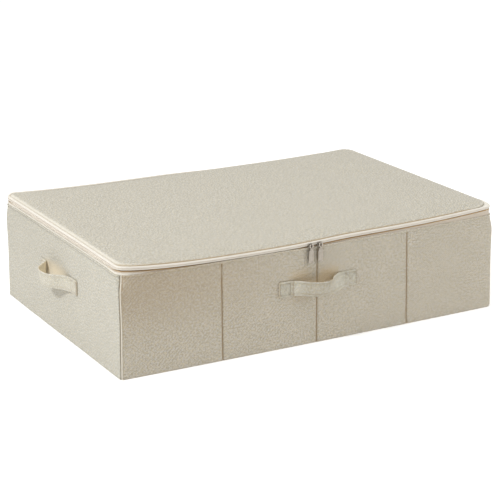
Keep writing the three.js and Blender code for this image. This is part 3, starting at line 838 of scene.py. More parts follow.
def round_corners(X, Y, hx, hy, r):
    """Moves a grid's corner squares onto quarter circles."""
    a, b = (np.abs(X) - (hx - r)) / r, (np.abs(Y) - (hy - r)) / r
    inside = (a > 0) & (b > 0)
    big = np.maximum(np.maximum(a, b), 1e-9)
    ang = np.where(a >= b, (math.pi / 4) * b / big, math.pi / 2 - (math.pi / 4) * a / big)
    d = r * big
    return (np.where(inside, np.sign(X) * (hx - r + d * np.cos(ang)), X),
            np.where(inside, np.sign(Y) * (hy - r + d * np.sin(ang)), Y))


bottom_panel()


# ------------------------------------------------------------------ stitches on the walls
def wall_stitches():
    for side in ("front", "back"):
        rows = []
        for c in SEAMS:
            z = np.arange(3.5, 158.5, 3.6)
            for dx in (0.0,):
                s = np.full(z.shape, c + dx)
                p, out = wall_point(side, s, z)
                d = np.tile([0, 0, 1.0], (len(z), 1))
                rows.append((p, d, out))
        p, d, o = (np.concatenate([r[i] for r in rows]) for i in range(3))
        ob = stitch_row(f"{side}_fold_stitches", p, d, o, M["thread_tan"], 2.4, 0.27, 0.05)
        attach(ob, "box")
    # corner seams: dark stitches in the groove of the end walls
    P, D, O = [], [], []
    for sx in (-1, 1):
        for sy in (-1, 1):
            z = np.arange(3.0, 163.0, 3.3)
            R = corner_radius((sx, sy), z)
            ang = math.pi / 4 - 0.9 / R                       # a little short of the 45 degree line, on the end wall's side
            n = np.stack([np.cos(ang), np.sin(ang)], 1)
            # the end wall's normal is along x
            x = HX - R + (R - 1.25) * np.cos(ang)
            y = HY - R + (R - 1.25) * np.sin(ang)
            foot = 2.8 * (1 - smooth(0, 105, z)) if sx > 0 else 0.0
            P.append(np.stack([sx * x + foot, sy * y, z], 1))
            O.append(np.stack([sx * n[:, 0], sy * n[:, 1], 0 * z], 1))
            D.append(np.stack([0 * z, 0 * z, 0 * z + 1], 1))
    ob = stitch_row("corner_seam_stitches", np.concatenate(P), np.concatenate(D), np.concatenate(O), M["thread_tan"], 2.0, 0.36, 0.05)
    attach(ob, "box")


wall_stitches()


LID_INSET = 3.75


def overhang(x, y):
    """How much the lid cloth laps over its binding: along the right end and round its back corner."""
    return smooth(HX - 75, HX - 28, x) * smooth(-HY + 26, -HY + 70, y)


def edge_distance(X, Y, hx, hy, r):
    """Distance from the lid's rounded outline, inwards."""
    qx, qy = np.abs(X) - (hx - r), np.abs(Y) - (hy - r)
    out = np.hypot(np.maximum(qx, 0), np.maximum(qy, 0)) + np.minimum(np.maximum(qx, qy), 0)
    return np.maximum(r - out, 0)


# ------------------------------------------------------------------ zip rim
def zip_rim():
    full = rim(None, 6.0, 14)
    part = rim(285.0, 6.0, 14)

    def gap(path):
        """How far each tape edge stands back from the middle of the zip: more along the ends, where it is pulled open."""
        x, y = path[0][:, 0], path[0][:, 1]
        return 1.15 * smooth(-HY + 14, -HY + 60, y) * (1 - smooth(HY - 50, HY - 12, y))
    gp, gf = gap(part), gap(full)

    def rightward(path):
        return smooth(40, 260, path[0][:, 0]) * (1 - smooth(-HY + 20, -HY + 60, path[0][:, 1]))
    rp, rf = rightward(part), rightward(full)

    # tape sewn inside the wall, up to the zip
    # painted shade: tan lines at the tape's upper edge by the zip, and a tan tone over the whole tape along the front's
    # right part, where it lies in the binding's shade
    ob = band("lower_zip_tape", part,
              lambda z: [(-1.55, z * 0 + 158.0), (-1.5, z * 0 + 161.0), (-1.45, z - 3.6 + 0 * z), (-1.62, z - 3.1), (-1.42, z - 2.6 - 0.5 * gp), (-1.35, z - 1.6 - 0.8 * gp), (-1.6, z - 1.05 - gp)],
              lambda z: [(-2.35, z * 0 + 158.0), (-2.35, z * 0 + 161.0), (-2.3, z - 3.6), (-2.3, z - 3.1), (-2.3, z - 2.6 - 0.5 * gp), (-2.25, z - 1.7 - 0.8 * gp), (-2.1, z - 1.25 - gp)],
              M["tape"], False, np.outer((1 - gp / 1.15) * (1 - rp), [0, 0, 0, 0.6, 0.5, 0.6, 1.0]) + np.outer((1 - gp / 1.15) * rp, [0.4, 0.4, 0.4, 0.42, 0.36, 0.34, 0.6])
              + np.outer(gp / 1.15, [0, 0, 0, 0.3, 0, 0.1, 0.45]))
    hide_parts("body_zip_tape")
    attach(ob, "box")

    # ivory binding of the lid: stands up from the zip, rolls over the top and dives into the seam with the lid cloth
    low = overhang(full[0][:, 0], full[0][:, 1])            # where the cloth laps over it, the binding is pressed lower
    bx, by = full[0][:, 0], full[0][:, 1]
    stand = smooth(HY - 22, HY - 6, by) * (1 - smooth(-60, 70, bx)) * smooth(-HX + 1, -HX + 12, bx)
    cut = smooth(HX - 60, HX - 12, bx) * (1 - smooth(-HY + 8, -HY + 46, by))
    k = 1 - 0.34 * low + 0.30 * stand - 0.12 * cut - 0.13 * (1 - smooth(-HY + 10, -HY + 40, by))
    outer = lambda z: [(-2.0, z + 0.85 + gf), (-1.35, z + 0.75 + gf), (-0.9, z + 1.1 + gf), (-0.62, z + 1.8 + 0.8 * gf), (-0.55, z + 2.8 + 0.4 * gf), (-0.62, z + 3.5),
                       (-1.0, z + 3.95), (-0.62, z + 4.4 * k), (-0.55, z + 5.2 * k), (-0.7, z + 6.2 * k), (-1.15, z + 7.05 * k), (-1.9, z + 7.6 * k),
                       (-2.8, z + 7.65 * k), (-3.6, z + 7.2 * k), (-4.1, z + 6.4 * k), (-4.3, z + 5.6 * k)]
    inner = lambda z: [(-2.0, z + 1.6 + gf), (-1.75, z + 1.5 + gf), (-1.6, z + 1.8 + gf), (-1.45, z + 2.2 + 0.8 * gf), (-1.4, z + 2.9 + 0.4 * gf), (-1.45, z + 3.5),
                       (-1.75, z + 3.95), (-1.45, z + 4.4 * k), (-1.4, z + 5.1 * k), (-1.5, z + 5.8 * k), (-1.8, z + 6.3 * k), (-2.2, z + 6.65 * k),
                       (-2.7, z + 6.7 * k), (-3.1, z + 6.5 * k), (-3.35, z + 6.0 * k), (-3.5, z + 5.5 * k)]
    reach = np.full(len(full[0]), LID_INSET)                 # how far in the lid cloth starts, at each point of the rim
    for _ in range(14):
        q = full[0] - full[1] * reach[:, None]
        r = by_corner(LID_CORNER, q[:, 0], q[:, 1]) - LID_INSET
        qx, qy = np.abs(q[:, 0]) - (HX - LID_INSET - r), np.abs(q[:, 1]) - (HY - LID_INSET - r)
        out = np.hypot(np.maximum(qx, 0), np.maximum(qy, 0)) + np.minimum(np.maximum(qx, qy), 0) - r
        reach = np.maximum(reach + 0.9 * out, LID_INSET)
    extra = reach - LID_INSET

    def stretch(profile, first):
        def wider(z):
            cols, last = profile(z), None
            span = cols[first][0] - cols[-1][0]
            return [(n - (extra * max(0.0, (cols[first][0] - n) / span) if k > first else 0.0), zz) for k, (n, zz) in enumerate(cols)]
        return wider
    # painted shade: tan lines along the binding's lower edge by the zip, at its stitch line and where it dives into the
    # seam with the lid cloth, fainter where it stands up by the back left and at the front right corner
    ob = band("lid_binding", full, stretch(outer, 11), stretch(inner, 11), M["tape"], True,
              np.outer((1 - gf / 1.15) * (1 - 0.35 * rf), [1.0, 0.9, 0.35, 0, 0.1, 0.3, 0.65, 0.3, 0.05, 0, 0, 0, 0, 0.25, 0.8, 1.0])
              + np.outer(gf / 1.15, [0.6, 0.45, 0.1, 0, 0.1, 0.3, 0.6, 0.3, 0.05, 0, 0, 0, 0, 0.2, 0.6, 0.8])
              - np.outer(stand * (1 - gf / 1.15), [0, 0, 0, 0, 0, 0, 0, 0, 0, 0, 0, 0, 0, 0.25, 0.75, 0.7]) - np.outer(stand * gf / 1.15, [0, 0, 0, 0, 0, 0, 0, 0, 0, 0, 0, 0, 0, 0.2, 0.55, 0.5])
              - np.outer(cut, [0, 0, 0, 0, 0, 0, 0, 0, 0, 0, 0, 0, 0, 0.2, 0.6, 0.6]))
    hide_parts("lid_zip_tape", "lid_back_band")
    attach(ob, "lid")

    # cloth hinge across the back
    x = stations([-284.4, 284.4], 6.0)
    path = (np.stack([x[::-1], np.full(len(x), HY)], 1), np.tile([0.0, 1.0], (len(x), 1)), x - x[0])
    ob = band("hinge_cloth", path,
              lambda z: [(-1.45, z * 0 + 160.0), (-1.45, z * 0 + 162.5), (-1.4, z * 0 + 164.5), (-1.4, z * 0 + 166.5), (-1.6, z * 0.5 + 83.8), (-1.9, z - 0.6), (-1.95, z + 0.6), (-1.75, z + 2.2), (-1.75, z + 3.4)],
              lambda z: [(-2.25, z * 0 + 160.0), (-2.25, z * 0 + 162.5), (-2.2, z * 0 + 164.5), (-2.2, z * 0 + 166.5), (-2.4, z * 0.5 + 83.8), (-2.6, z - 0.6), (-2.65, z + 0.6), (-2.4, z + 2.2), (-2.4, z + 3.4)],
              M["tape"], False)
    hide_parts("back_hinge_strip")
    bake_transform(ob)

    # the two coils: rows of small teeth
    pts, nrm, s = rim(285.0, 0.8, 46)
    z0 = ZIP - sag(pts[:, 0], pts[:, 1])
    tooth = np.where(np.arange(len(pts)) % 2 == 0, 0.82, 0.5)
    side = np.concatenate([nrm, np.zeros((len(nrm), 1))], 1)
    up = np.tile([0, 0, 1.0], (len(pts), 1))
    for name, dz, node, body in (("lower_zip_coil", -0.95, "body_zip_coil", "box"), ("upper_zip_coil", 0.95, "lid_zip_coil", "lid")):
        deep = 2.9 - 1.2 * gap((pts, nrm, s)) / 1.15 - 0.5 * rightward((pts, nrm, s))
        c = np.stack([pts[:, 0] - deep * nrm[:, 0], pts[:, 1] - deep * nrm[:, 1], z0 + dz], 1)
        # painted warm shade: the front stretch of the coil tinted tan, where it lies in the zip's shadowed gap
        ob = tube(name, c, side, up, tooth, M["coil"], 6, painted_shade=(1 - gap((pts, nrm, s)) / 1.15) * (1 - smooth(-HY + 4, -HY + 26, pts[:, 1])))
        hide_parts(node)
        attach(ob, body)

    # stitch rows
    def row(name, path_end, n, dz, pitch, mat, body, length=2.2, radius=0.3, keep=None):
        p, q, s = rim(path_end, 1.0, 30)
        at = np.arange(pitch / 2, s[-1], pitch)
        px, py = np.interp(at, s, p[:, 0]), np.interp(at, s, p[:, 1])
        qx, qy = np.interp(at, s, q[:, 0]), np.interp(at, s, q[:, 1])
        z = ZIP - sag(px, py) + dz
        P = np.stack([px + n * qx, py + n * qy, z], 1)
        ahead = np.roll(P, -1, 0) - P
        ahead[-1] = ahead[-2]
        ahead[np.linalg.norm(ahead, axis=1) > 3 * pitch] = [1, 0, 0]
        O = np.stack([qx, qy, 0 * qx], 1)
        if keep is not None:
            k = keep(P)
            P, ahead, O = P[k], ahead[k], O[k]
        ob = stitch_row(name, P, ahead, O, mat, length, radius, 0.05)
        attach(ob, body)
    row("binding_stitches", None, -0.85, 3.95, 3.1, M["thread_band"], "lid", 2.2, 0.32)

    row("lid_seam_stitches", None, -(LID_INSET + 0.8), 7.0, 3.3, M["thread_handle"], "lid", 1.9, 0.26,
        lambda P: ((P[:, 1] < -HY + 12) & (np.abs(P[:, 0]) < 318)) | ((P[:, 0] < -HX + 12) & (np.abs(P[:, 1]) < 196)))

    def seen(P):
        front = P[:, 1] < -HY + RIM_R * 0.4
        return ~(front & (P[:, 2] < hem_height(P[:, 0], "front") + 0.3))
    row("tape_stitches", 285.0, -1.6, -3.1, 3.1, M["thread"], "box", 2.2, 0.28, seen)

    # zip ends: folded tabs with a rounded face
    for node in ("zip_stop_left", "zip_stop_right"):
        lo, hi = (np.array(v) * 1000 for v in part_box(node))
        u = np.linspace(0, 1, 9)
        v = np.linspace(0, 1, 7)
        U, V = np.meshgrid(u, v, indexing="ij")
        dome = (np.sin(math.pi * U) ** 0.5) * (np.sin(math.pi * V) ** 0.5)
        X = lo[0] + (hi[0] - lo[0]) * U
        Z = lo[2] + (hi[2] - lo[2]) * (0.5 + (V - 0.5) * (0.86 + 0.14 * np.sin(math.pi * U)))
        front = np.stack([X, hi[1] - 0.45 + 0.45 * dome, Z], -1)
        rear = np.stack([X, 0 * X + lo[1], Z], -1)
        ob = shell(node + "_clip", front, rear, M["nickel"], np.stack([X, Z], -1))
        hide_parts(node)
        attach(ob, "box")


zip_rim()


# ------------------------------------------------------------------ lid
def lid_grid(inset, step, edges, table=None):
    hx, hy = HX - inset, HY - inset
    def axis(h):
        e = np.array(edges)
        return np.concatenate([-h + e, stations([-h + e[-1] + step * 0.8, h - e[-1] - step * 0.8], step), (h - e)[::-1]])
    X, Y = np.meshgrid(axis(hx), axis(hy), indexing="ij")
    U, V = X.copy(), Y.copy()
    r = by_corner(table or LID_CORNER, X, Y) - inset
    X, Y = round_corners(X, Y, hx, hy, r)
    return X, Y, U, V, hx, hy


def lid_profile(d):
    """Height of the lid cloth over the zip line, by distance from its edge: out of the seam, round the padding, flat."""
    return 6.1 + 1.9 * (1 - np.exp(-d / 1.6)) + 3.3 * (1 - np.exp(-d / 13.0))


def upsample(P):
    """Doubles a grid's resolution both ways on smooth cubic curves."""
    def one(A):
        pad = np.concatenate([2 * A[:1] - A[1:2], A, 2 * A[-1:] - A[-2:-1]])
        mid = (-pad[:-3] + 9 * pad[1:-2] + 9 * pad[2:-1] - pad[3:]) / 16
        out = np.zeros((2 * len(A) - 1,) + A.shape[1:])
        out[::2], out[1::2] = A, mid
        return out
    return np.swapaxes(one(np.swapaxes(one(P), 0, 1)), 0, 1)


def simulate_lid(P, pinned):
    """Cloth simulation: the cloth is cut a little large and held at its edge, over soft padding that pushes it up."""
    nu, nv = P.shape[:2]
    faces = [(i * nv + j, (i + 1) * nv + j, (i + 1) * nv + j + 1, i * nv + j + 1) for i in range(nu - 1) for j in range(nv - 1)]
    me = bpy.data.meshes.new("lid_sim")
    me.from_pydata((P.reshape(-1, 3) * 0.001).tolist(), [], faces)
    me.update()
    ob = bpy.data.objects.new("lid_sim", me)
    bpy.context.scene.collection.objects.link(ob)
    group = ob.vertex_groups.new(name="pin")
    group.add([int(i) for i in np.flatnonzero(pinned.ravel())], 1.0, "REPLACE")
    mod = ob.modifiers.new("cloth", "CLOTH")
    st = mod.settings
    st.quality = 6
    st.mass = 0.35
    st.tension_stiffness = 12
    st.compression_stiffness = 12
    st.shear_stiffness = 4
    st.bending_stiffness = 0.35
    st.tension_damping = st.compression_damping = 8
    st.air_damping = 2.0
    st.vertex_group_mass = "pin"
    st.use_pressure = True
    st.uniform_pressure_force = 0.35
    st.shrink_min = -0.012
    st.effector_weights.gravity = 0.0
    mod.collision_settings.use_collision = False
    mod.collision_settings.use_self_collision = False
    sc = bpy.context.scene
    start = sc.frame_current
    mod.point_cache.frame_start, mod.point_cache.frame_end = 1, 24
    for f in range(1, 23):
        sc.frame_set(f)
    dg = bpy.context.evaluated_depsgraph_get()
    ev = ob.evaluated_get(dg).to_mesh()
    co = np.zeros(len(ev.vertices) * 3)
    ev.vertices.foreach_get("co", co)
    sc.frame_set(start)
    bpy.data.objects.remove(ob)
    return co.reshape(nu, nv, 3) * 1000


def lid():
    X, Y, U, V, hx, hy = lid_grid(LID_INSET, 9.0, [0, 1.5, 4.0, 8.0, 14.0])
    d = edge_distance(X, Y, hx, hy, by_corner(LID_CORNER, X, Y) - LID_INSET)
    Z = ZIP - sag(X, Y) + lid_profile(d) + 1.5 * (1 - np.exp(-d / 6.0)) * np.exp(-(X + HX) / 70.0)
    Z = Z + waves(X, Y, 31, 7, 120, 320, 0.5) * smooth(6, 60, d)
    P = np.stack([X, Y, Z], -1)
    pinned = d < 1.0
    S = simulate_lid(P, pinned)
    move = S - P
    ripple = move[..., 2] * smooth(0, 12, d)
    top = np.abs(ripple).max()
    print("lid cloth moved up to", round(float(top), 2), "mm")
    lift = np.clip(ripple, -2.2, 3.2) if top < 6 else ripple * (3.2 / top)
    P[..., 2] += lift
    P[..., :2] += np.clip(move[..., :2], -0.6, 0.6) * smooth(3, 20, d)[..., None]
    P = upsample(P)
    UV = upsample(np.stack([U, V], -1))
    d = edge_distance(P[..., 0], P[..., 1], hx, hy, by_corner(LID_CORNER, P[..., 0], P[..., 1]) - LID_INSET)
    # puckers where the cloth is sewn to the binding
    run = np.where(np.abs(P[..., 0]) / HX > np.abs(P[..., 1]) / HY, P[..., 1], P[..., 0])
    pucker = np.sin(2 * math.pi * run / 7.3 + 1.3 * np.sin(run / 19.0)) * (0.55 + 0.45 * np.sin(run / 33.0 + 1.0))
    P[..., 2] += 0.22 * pucker * np.exp(-((d - 3.0) / 3.2) ** 2)
    # one soft tuck by the back left corner
    ax, ay, bx, by = -322.0, 118.0, -262.0, 146.0
    t = np.clip(((P[..., 0] - ax) * (bx - ax) + (P[..., 1] - ay) * (by - ay)) / ((bx - ax) ** 2 + (by - ay) ** 2), 0, 1)
    off = ((P[..., 0] - ax) * (by - ay) - (P[..., 1] - ay) * (bx - ax)) / math.hypot(bx - ax, by - ay)
    reach = np.hypot(P[..., 0] - (ax + t * (bx - ax)), P[..., 1] - (ay + t * (by - ay)))
    P[..., 2] += (1.0 * np.exp(-((off + 3.0) / 4.0) ** 2) - 1.0 * np.exp(-((off - 3.5) / 3.4) ** 2)) * np.exp(-(np.maximum(reach - np.abs(off), 0) / 10.0) ** 2) * np.sin(math.pi * np.clip(t, 0.02, 0.98)) ** 0.5
    # where it laps over the binding the cloth swells outwards
    lap = overhang(P[..., 0], P[..., 1])
    e = 0.4
    ra = by_corner(LID_CORNER, P[..., 0], P[..., 1]) - LID_INSET
    q = [edge_distance(P[..., 0] + i * e, P[..., 1] + j * e, hx, hy, ra) for i, j in ((1, 0), (-1, 0), (0, 1), (0, -1))]
    gx, gy = q[1] - q[0], q[3] - q[2]
    g = np.maximum(np.hypot(gx, gy), 1e-6)
    at = [0, 0.75, 1.5, 2.75, 4, 6, 8, 11, 14, 60]
    push = np.interp(d, at, [0.4, 1.7, 2.4, 2.5, 1.9, 0.9, 0.3, 0.0, 0, 0]) * lap
    P[..., 2] += np.interp(d, at, [-2.2, -2.3, -1.7, -0.9, -0.6, -0.7, -1.0, -1.3, -1.5, 0.0]) * lap
    P[..., 0] += push * gx / g
    P[..., 1] += push * gy / g
    fore = 1 - smooth(-HY + 12, -HY + 30, P[..., 1])
    fore = fore * (1 - smooth(HX - 75, HX - 30, P[..., 0]))
    # painted shade in the seam groove round the lid cloth's edge, wider and darker along the front, fainter at the
    # right end
    painted_shade = (0.5 + 0.4 * fore) * np.exp(-(d / (1.0 + 0.7 * fore)) ** 2) * (1 - 0.7 * smooth(HX - 60, HX - 20, P[..., 0]))
    under = P.copy()
    under[..., 2] -= 1.3
    # painted highlight on the lid cloth's rise near its left edge, where light falls, and faintly along its other edges
    # except the front
    painted_highlight = 0.6 * np.exp(-((d - 2.6) / 2.8) ** 2) * np.exp(-(P[..., 0] + HX) / 26.0) + 0.2 * (1 - fore) * np.exp(-((d - 2.5) / 2.0) ** 2)
    ob = shell("lid_cloth", P, under, M["lid"], UV, painted_shade, painted_highlight=painted_highlight)
    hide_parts("lid_top_cover")
    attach(ob, "lid")

    # padding: follows the cloth from below, rounded at its edge
    X2, Y2, U2, V2, hx2, hy2 = lid_grid(5.6, 14.0, [0, 1.5, 4.0, 8.0])
    d2 = edge_distance(X2, Y2, hx2, hy2, by_corner(LID_CORNER, X2, Y2) - 5.6)
    gx, gy = P[:, P.shape[1] // 2, 0], P[P.shape[0] // 2, :, 1]
    ix = np.clip(np.searchsorted(gx, X2) - 1, 0, len(gx) - 2)
    iy = np.clip(np.searchsorted(gy, Y2) - 1, 0, len(gy) - 2)
    fx = np.clip((X2 - gx[ix]) / (gx[ix + 1] - gx[ix]), 0, 1)
    fy = np.clip((Y2 - gy[iy]) / (gy[iy + 1] - gy[iy]), 0, 1)
    Zc = (P[ix, iy, 2] * (1 - fx) * (1 - fy) + P[ix + 1, iy, 2] * fx * (1 - fy) + P[ix, iy + 1, 2] * (1 - fx) * fy + P[ix + 1, iy + 1, 2] * fx * fy)
    z0 = ZIP - sag(X2, Y2)
    top = np.minimum(Zc - 1.9, z0 + lid_profile(d2 + 0.5) - 1.4) - 1.6 * np.exp(-d2 / 1.2) - 1.2 * overhang(X2, Y2) * np.exp(-d2 / 12.0)
    low = z0 + 1.9 + 0.9 * np.exp(-d2 / 1.2)
    top = np.maximum(top, low + 0.6)
    ob = shell("lid_padding", np.stack([X2, Y2, top], -1), np.stack([X2, Y2, low], -1), M["foam"], np.stack([U2, V2], -1))
    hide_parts("lid_pad")
    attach(ob, "lid")

    # lining under the lid, a little slack
    X3, Y3, U3, V3, hx3, hy3 = lid_grid(4.9, 16.0, [0, 2.0, 6.0], RIM_CORNER)
    d3 = edge_distance(X3, Y3, hx3, hy3, by_corner(RIM_CORNER, X3, Y3) - 4.9)
    low = ZIP - sag(X3, Y3) + 0.6 + 1.0 * np.exp(-d3 / 2.0) - np.abs(waves(X3, Y3, 33, 6, 90, 240, 0.3)) * smooth(2, 30, d3)
    ob = shell("lid_lining_cloth", np.stack([X3, Y3, low], -1), np.stack([X3, Y3, low + 0.8], -1), M["lining"], np.stack([U3, V3], -1))
    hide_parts("lid_lining")
    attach(ob, "lid")


lid()


# ------------------------------------------------------------------ inside
def linings():
    for side, half, wall in (("front", 344.6, 225.0), ("back", 344.6, 225.0), ("left", 220.7, 350.0), ("right", 220.7, 350.0)):
        s = stations([-half, half], 9.0)
        prof_in = [(-5.1, 1.6), (-5.1, 3.0), (-5.1, 8.0)] + [(-5.1, float(z)) for z in stations([8, 150], 12)[1:]] + \
                  [(-5.15, 153.5), (-5.25, 156.2), (-5.1, 158.2), (-4.6, 159.3), (-3.8, 159.8), (-2.8, 159.8)]
        prof_out = [(-4.3, 1.6), (-4.3, 3.0), (-4.3, 8.0)] + [(-4.3, float(z)) for z in stations([8, 150], 12)[1:]] + \
                   [(-4.3, 153.5), (-4.3, 156.2), (-4.25, 157.8), (-3.95, 158.4), (-3.4, 158.8), (-2.8, 158.9)]
        S, J = np.meshgrid(s, np.arange(len(prof_in)), indexing="ij")
        ni, zi = np.array([p[0] for p in prof_in])[J], np.array([p[1] for p in prof_in])[J]
        no, zo = np.array([p[0] for p in prof_out])[J], np.array([p[1] for p in prof_out])[J]
        ripple = np.abs(waves(S, zi, 41 + len(side), 6, 60, 200, 0.35)) * smooth(8, 40, zi) * smooth(0, 20, 156 - zi) * smooth(0, 25, half - np.abs(S))
        def place(depth, z):
            """Follows the wall's corner from inside, depth in from the wall."""
            R = np.where(S >= 0, corner_radius(corner_of(side, 1), z), corner_radius(corner_of(side, -1), z))
            H = HX if side in ("front", "back") else HY
            end = np.minimum(half, H - R + np.maximum(R - 4.9, 0.2) * 0.7071)
            s = np.where(np.abs(S) > half - 45, np.sign(S) * (half - 45 + (np.abs(S) - (half - 45)) * (end - (half - 45)) / 45), S)
            past = np.maximum(np.abs(s) - (H - R), 0)
            r = np.maximum(R - depth, 0.3)
            arc_n = -R + np.sqrt(np.maximum(r ** 2 - past ** 2, 0))
            return to_world(side, s, np.where(past > 0, np.minimum(arc_n, -depth), -depth), z)
        a = place(-ni + ripple, zi)
        b = place(-no + ripple * 0.6, zo)
        ob = shell(f"{side}_lining_cloth", a, b, M["lining"], np.stack([S, zi], -1))
        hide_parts(f"{side}_lining")
        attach(ob, "box")


linings()


def base_board():
    lo, hi = (np.array(v) * 1000 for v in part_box("base_board"))
    hx, hy = hi[0], hi[1]
    r = 4.0
    e = np.array([0, 0.35, 0.9, 1.6, 3.0, 6.0])
    xs = np.concatenate([-hx + e, stations([-hx + 14, hx - 14], 20), (hx - e)[::-1]])
    ys = np.concatenate([-hy + e, stations([-hy + 14, hy - 14], 20), (hy - e)[::-1]])
    X, Y = np.meshgrid(xs, ys, indexing="ij")
    U, V = X.copy(), Y.copy()
    X, Y = round_corners(X, Y, hx, hy, r)
    d = edge_distance(X, Y, hx, hy, r)
    roll = 1.35 * (1 - np.sqrt(np.clip(1 - np.clip(1 - d / 1.6, 0, 1) ** 2, 0, 1)))
    pad = 0.12 * waves(X, Y, 52, 6, 70, 240, 1.0) * smooth(3, 30, d)
    hem = -0.25 * np.exp(-((d - 9.0) / 1.0) ** 2)
    top = np.stack([X, Y, hi[2] - roll + np.minimum(pad, 0.3) + hem], -1)
    low = np.stack([X, Y, lo[2] + roll + 0 * X], -1)
    ob = shell("base_board_wrapped", top, low, M["base"], np.stack([U, V], -1))
    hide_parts("base_board")
    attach(ob, "base_insert")
    # hem stitches round the top
    P, D = [], []
    k = 9.0
    for x in np.arange(-hx + 12, hx - 11, 3.4):
        for y in (-hy + k, hy - k):
            P.append((x, y, hi[2] - 0.2)); D.append((1, 0, 0))
    for y in np.arange(-hy + 12, hy - 11, 3.4):
        for x in (-hx + k, hx - k):
            P.append((x, y, hi[2] - 0.2)); D.append((0, 1, 0))
    ob = stitch_row("base_board_stitches", P, D, np.tile([0, 0, 1.0], (len(P), 1)), M["thread"], 2.3, 0.28, 0.05)
    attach(ob, "base_insert")


base_board()


def stiffeners():
    """The boards inside the walls, their top corners cut to clear the rounded corners of the rim."""
    names = [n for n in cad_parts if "_board_" in n or n in ("left_board", "right_board")]
    for name in sorted(names):
        side = name.split("_")[0]
        lo, hi = (np.array(v) * 1000 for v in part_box(name))
        a, b = {"front": (lo[0], hi[0]), "back": (-hi[0], -lo[0]), "left": (-hi[1], -lo[1]), "right": (lo[1], hi[1])}[side]
        H = HX if side in ("front", "back") else HY
        s = np.concatenate([[a, a + 0.5], stations([a + 2, b - 2], 6.0), [b - 0.5, b]])
        zz = np.arange(100.0, 157.6, 0.5)
        top = np.full(len(s), hi[2])
        for k, v in enumerate(s):
            R = corner_radius(corner_of(side, v), zz)
            past = np.maximum(abs(v) - (H - R), 0)
            n = -R + np.sqrt(np.maximum(R ** 2 - past ** 2, 0))
            ok = zz[n > -0.35]
            top[k] = ok.max() if len(ok) else 100.0
        top = np.minimum(top, hi[2])
        rows = np.array([0, 0.004, 0.012, 0.05, 0.2, 0.35, 0.5, 0.65, 0.8, 0.9, 0.95, 0.98, 0.993, 1.0])
        Z = lo[2] + rows[None, :] * (top - lo[2])[:, None]
        S = np.broadcast_to(s[:, None], Z.shape)
        edge = np.minimum(np.minimum(S - a, b - S), np.minimum(Z - lo[2], top[:, None] - Z))
        soft = 0.35 * (1 - smooth(0, 0.7, edge))
        front, rear = to_world(side, S, -1.5 - soft, Z), to_world(side, S, -4.0 + soft, Z)
        ob = shell(name + "_stiffener", front, rear, M["board"], np.stack([S, Z], -1))
        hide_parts(name)
        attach(ob, "box")


stiffeners()


# ------------------------------------------------------------------ handles
def curve_through(points, step=1.5):
    """A smooth line through (t, n) points, sampled at even steps along its length."""
    pts = np.array(points, float)
    d = np.concatenate([[0], np.cumsum(np.linalg.norm(np.diff(pts, axis=0), axis=1))])
    # monotone-ish cubic: tangents from neighbours, by chord length
    m = np.zeros_like(pts)
    m[1:-1] = (pts[2:] - pts[:-2]) / (d[2:] - d[:-2])[:, None]
    m[0] = (pts[1] - pts[0]) / (d[1] - d[0])
    m[-1] = (pts[-1] - pts[-2]) / (d[-1] - d[-2])
    fine = np.linspace(0, d[-1], 1200)
    k = np.clip(np.searchsorted(d, fine, side="right") - 1, 0, len(d) - 2)
    h = (d[k + 1] - d[k])[:, None]
    t = ((fine - d[k]) / (d[k + 1] - d[k]))[:, None]
    q = ((2 * t ** 3 - 3 * t ** 2 + 1) * pts[k] + (t ** 3 - 2 * t ** 2 + t) * h * m[k]
         + (-2 * t ** 3 + 3 * t ** 2) * pts[k + 1] + (t ** 3 - t ** 2) * h * m[k + 1])
    L = np.concatenate([[0], np.cumsum(np.linalg.norm(np.diff(q, axis=0), axis=1))])
    at = np.linspace(0, L[-1], int(L[-1] / step) + 1)
    return np.stack([np.interp(at, L, q[:, 0]), np.interp(at, L, q[:, 1])], 1), at


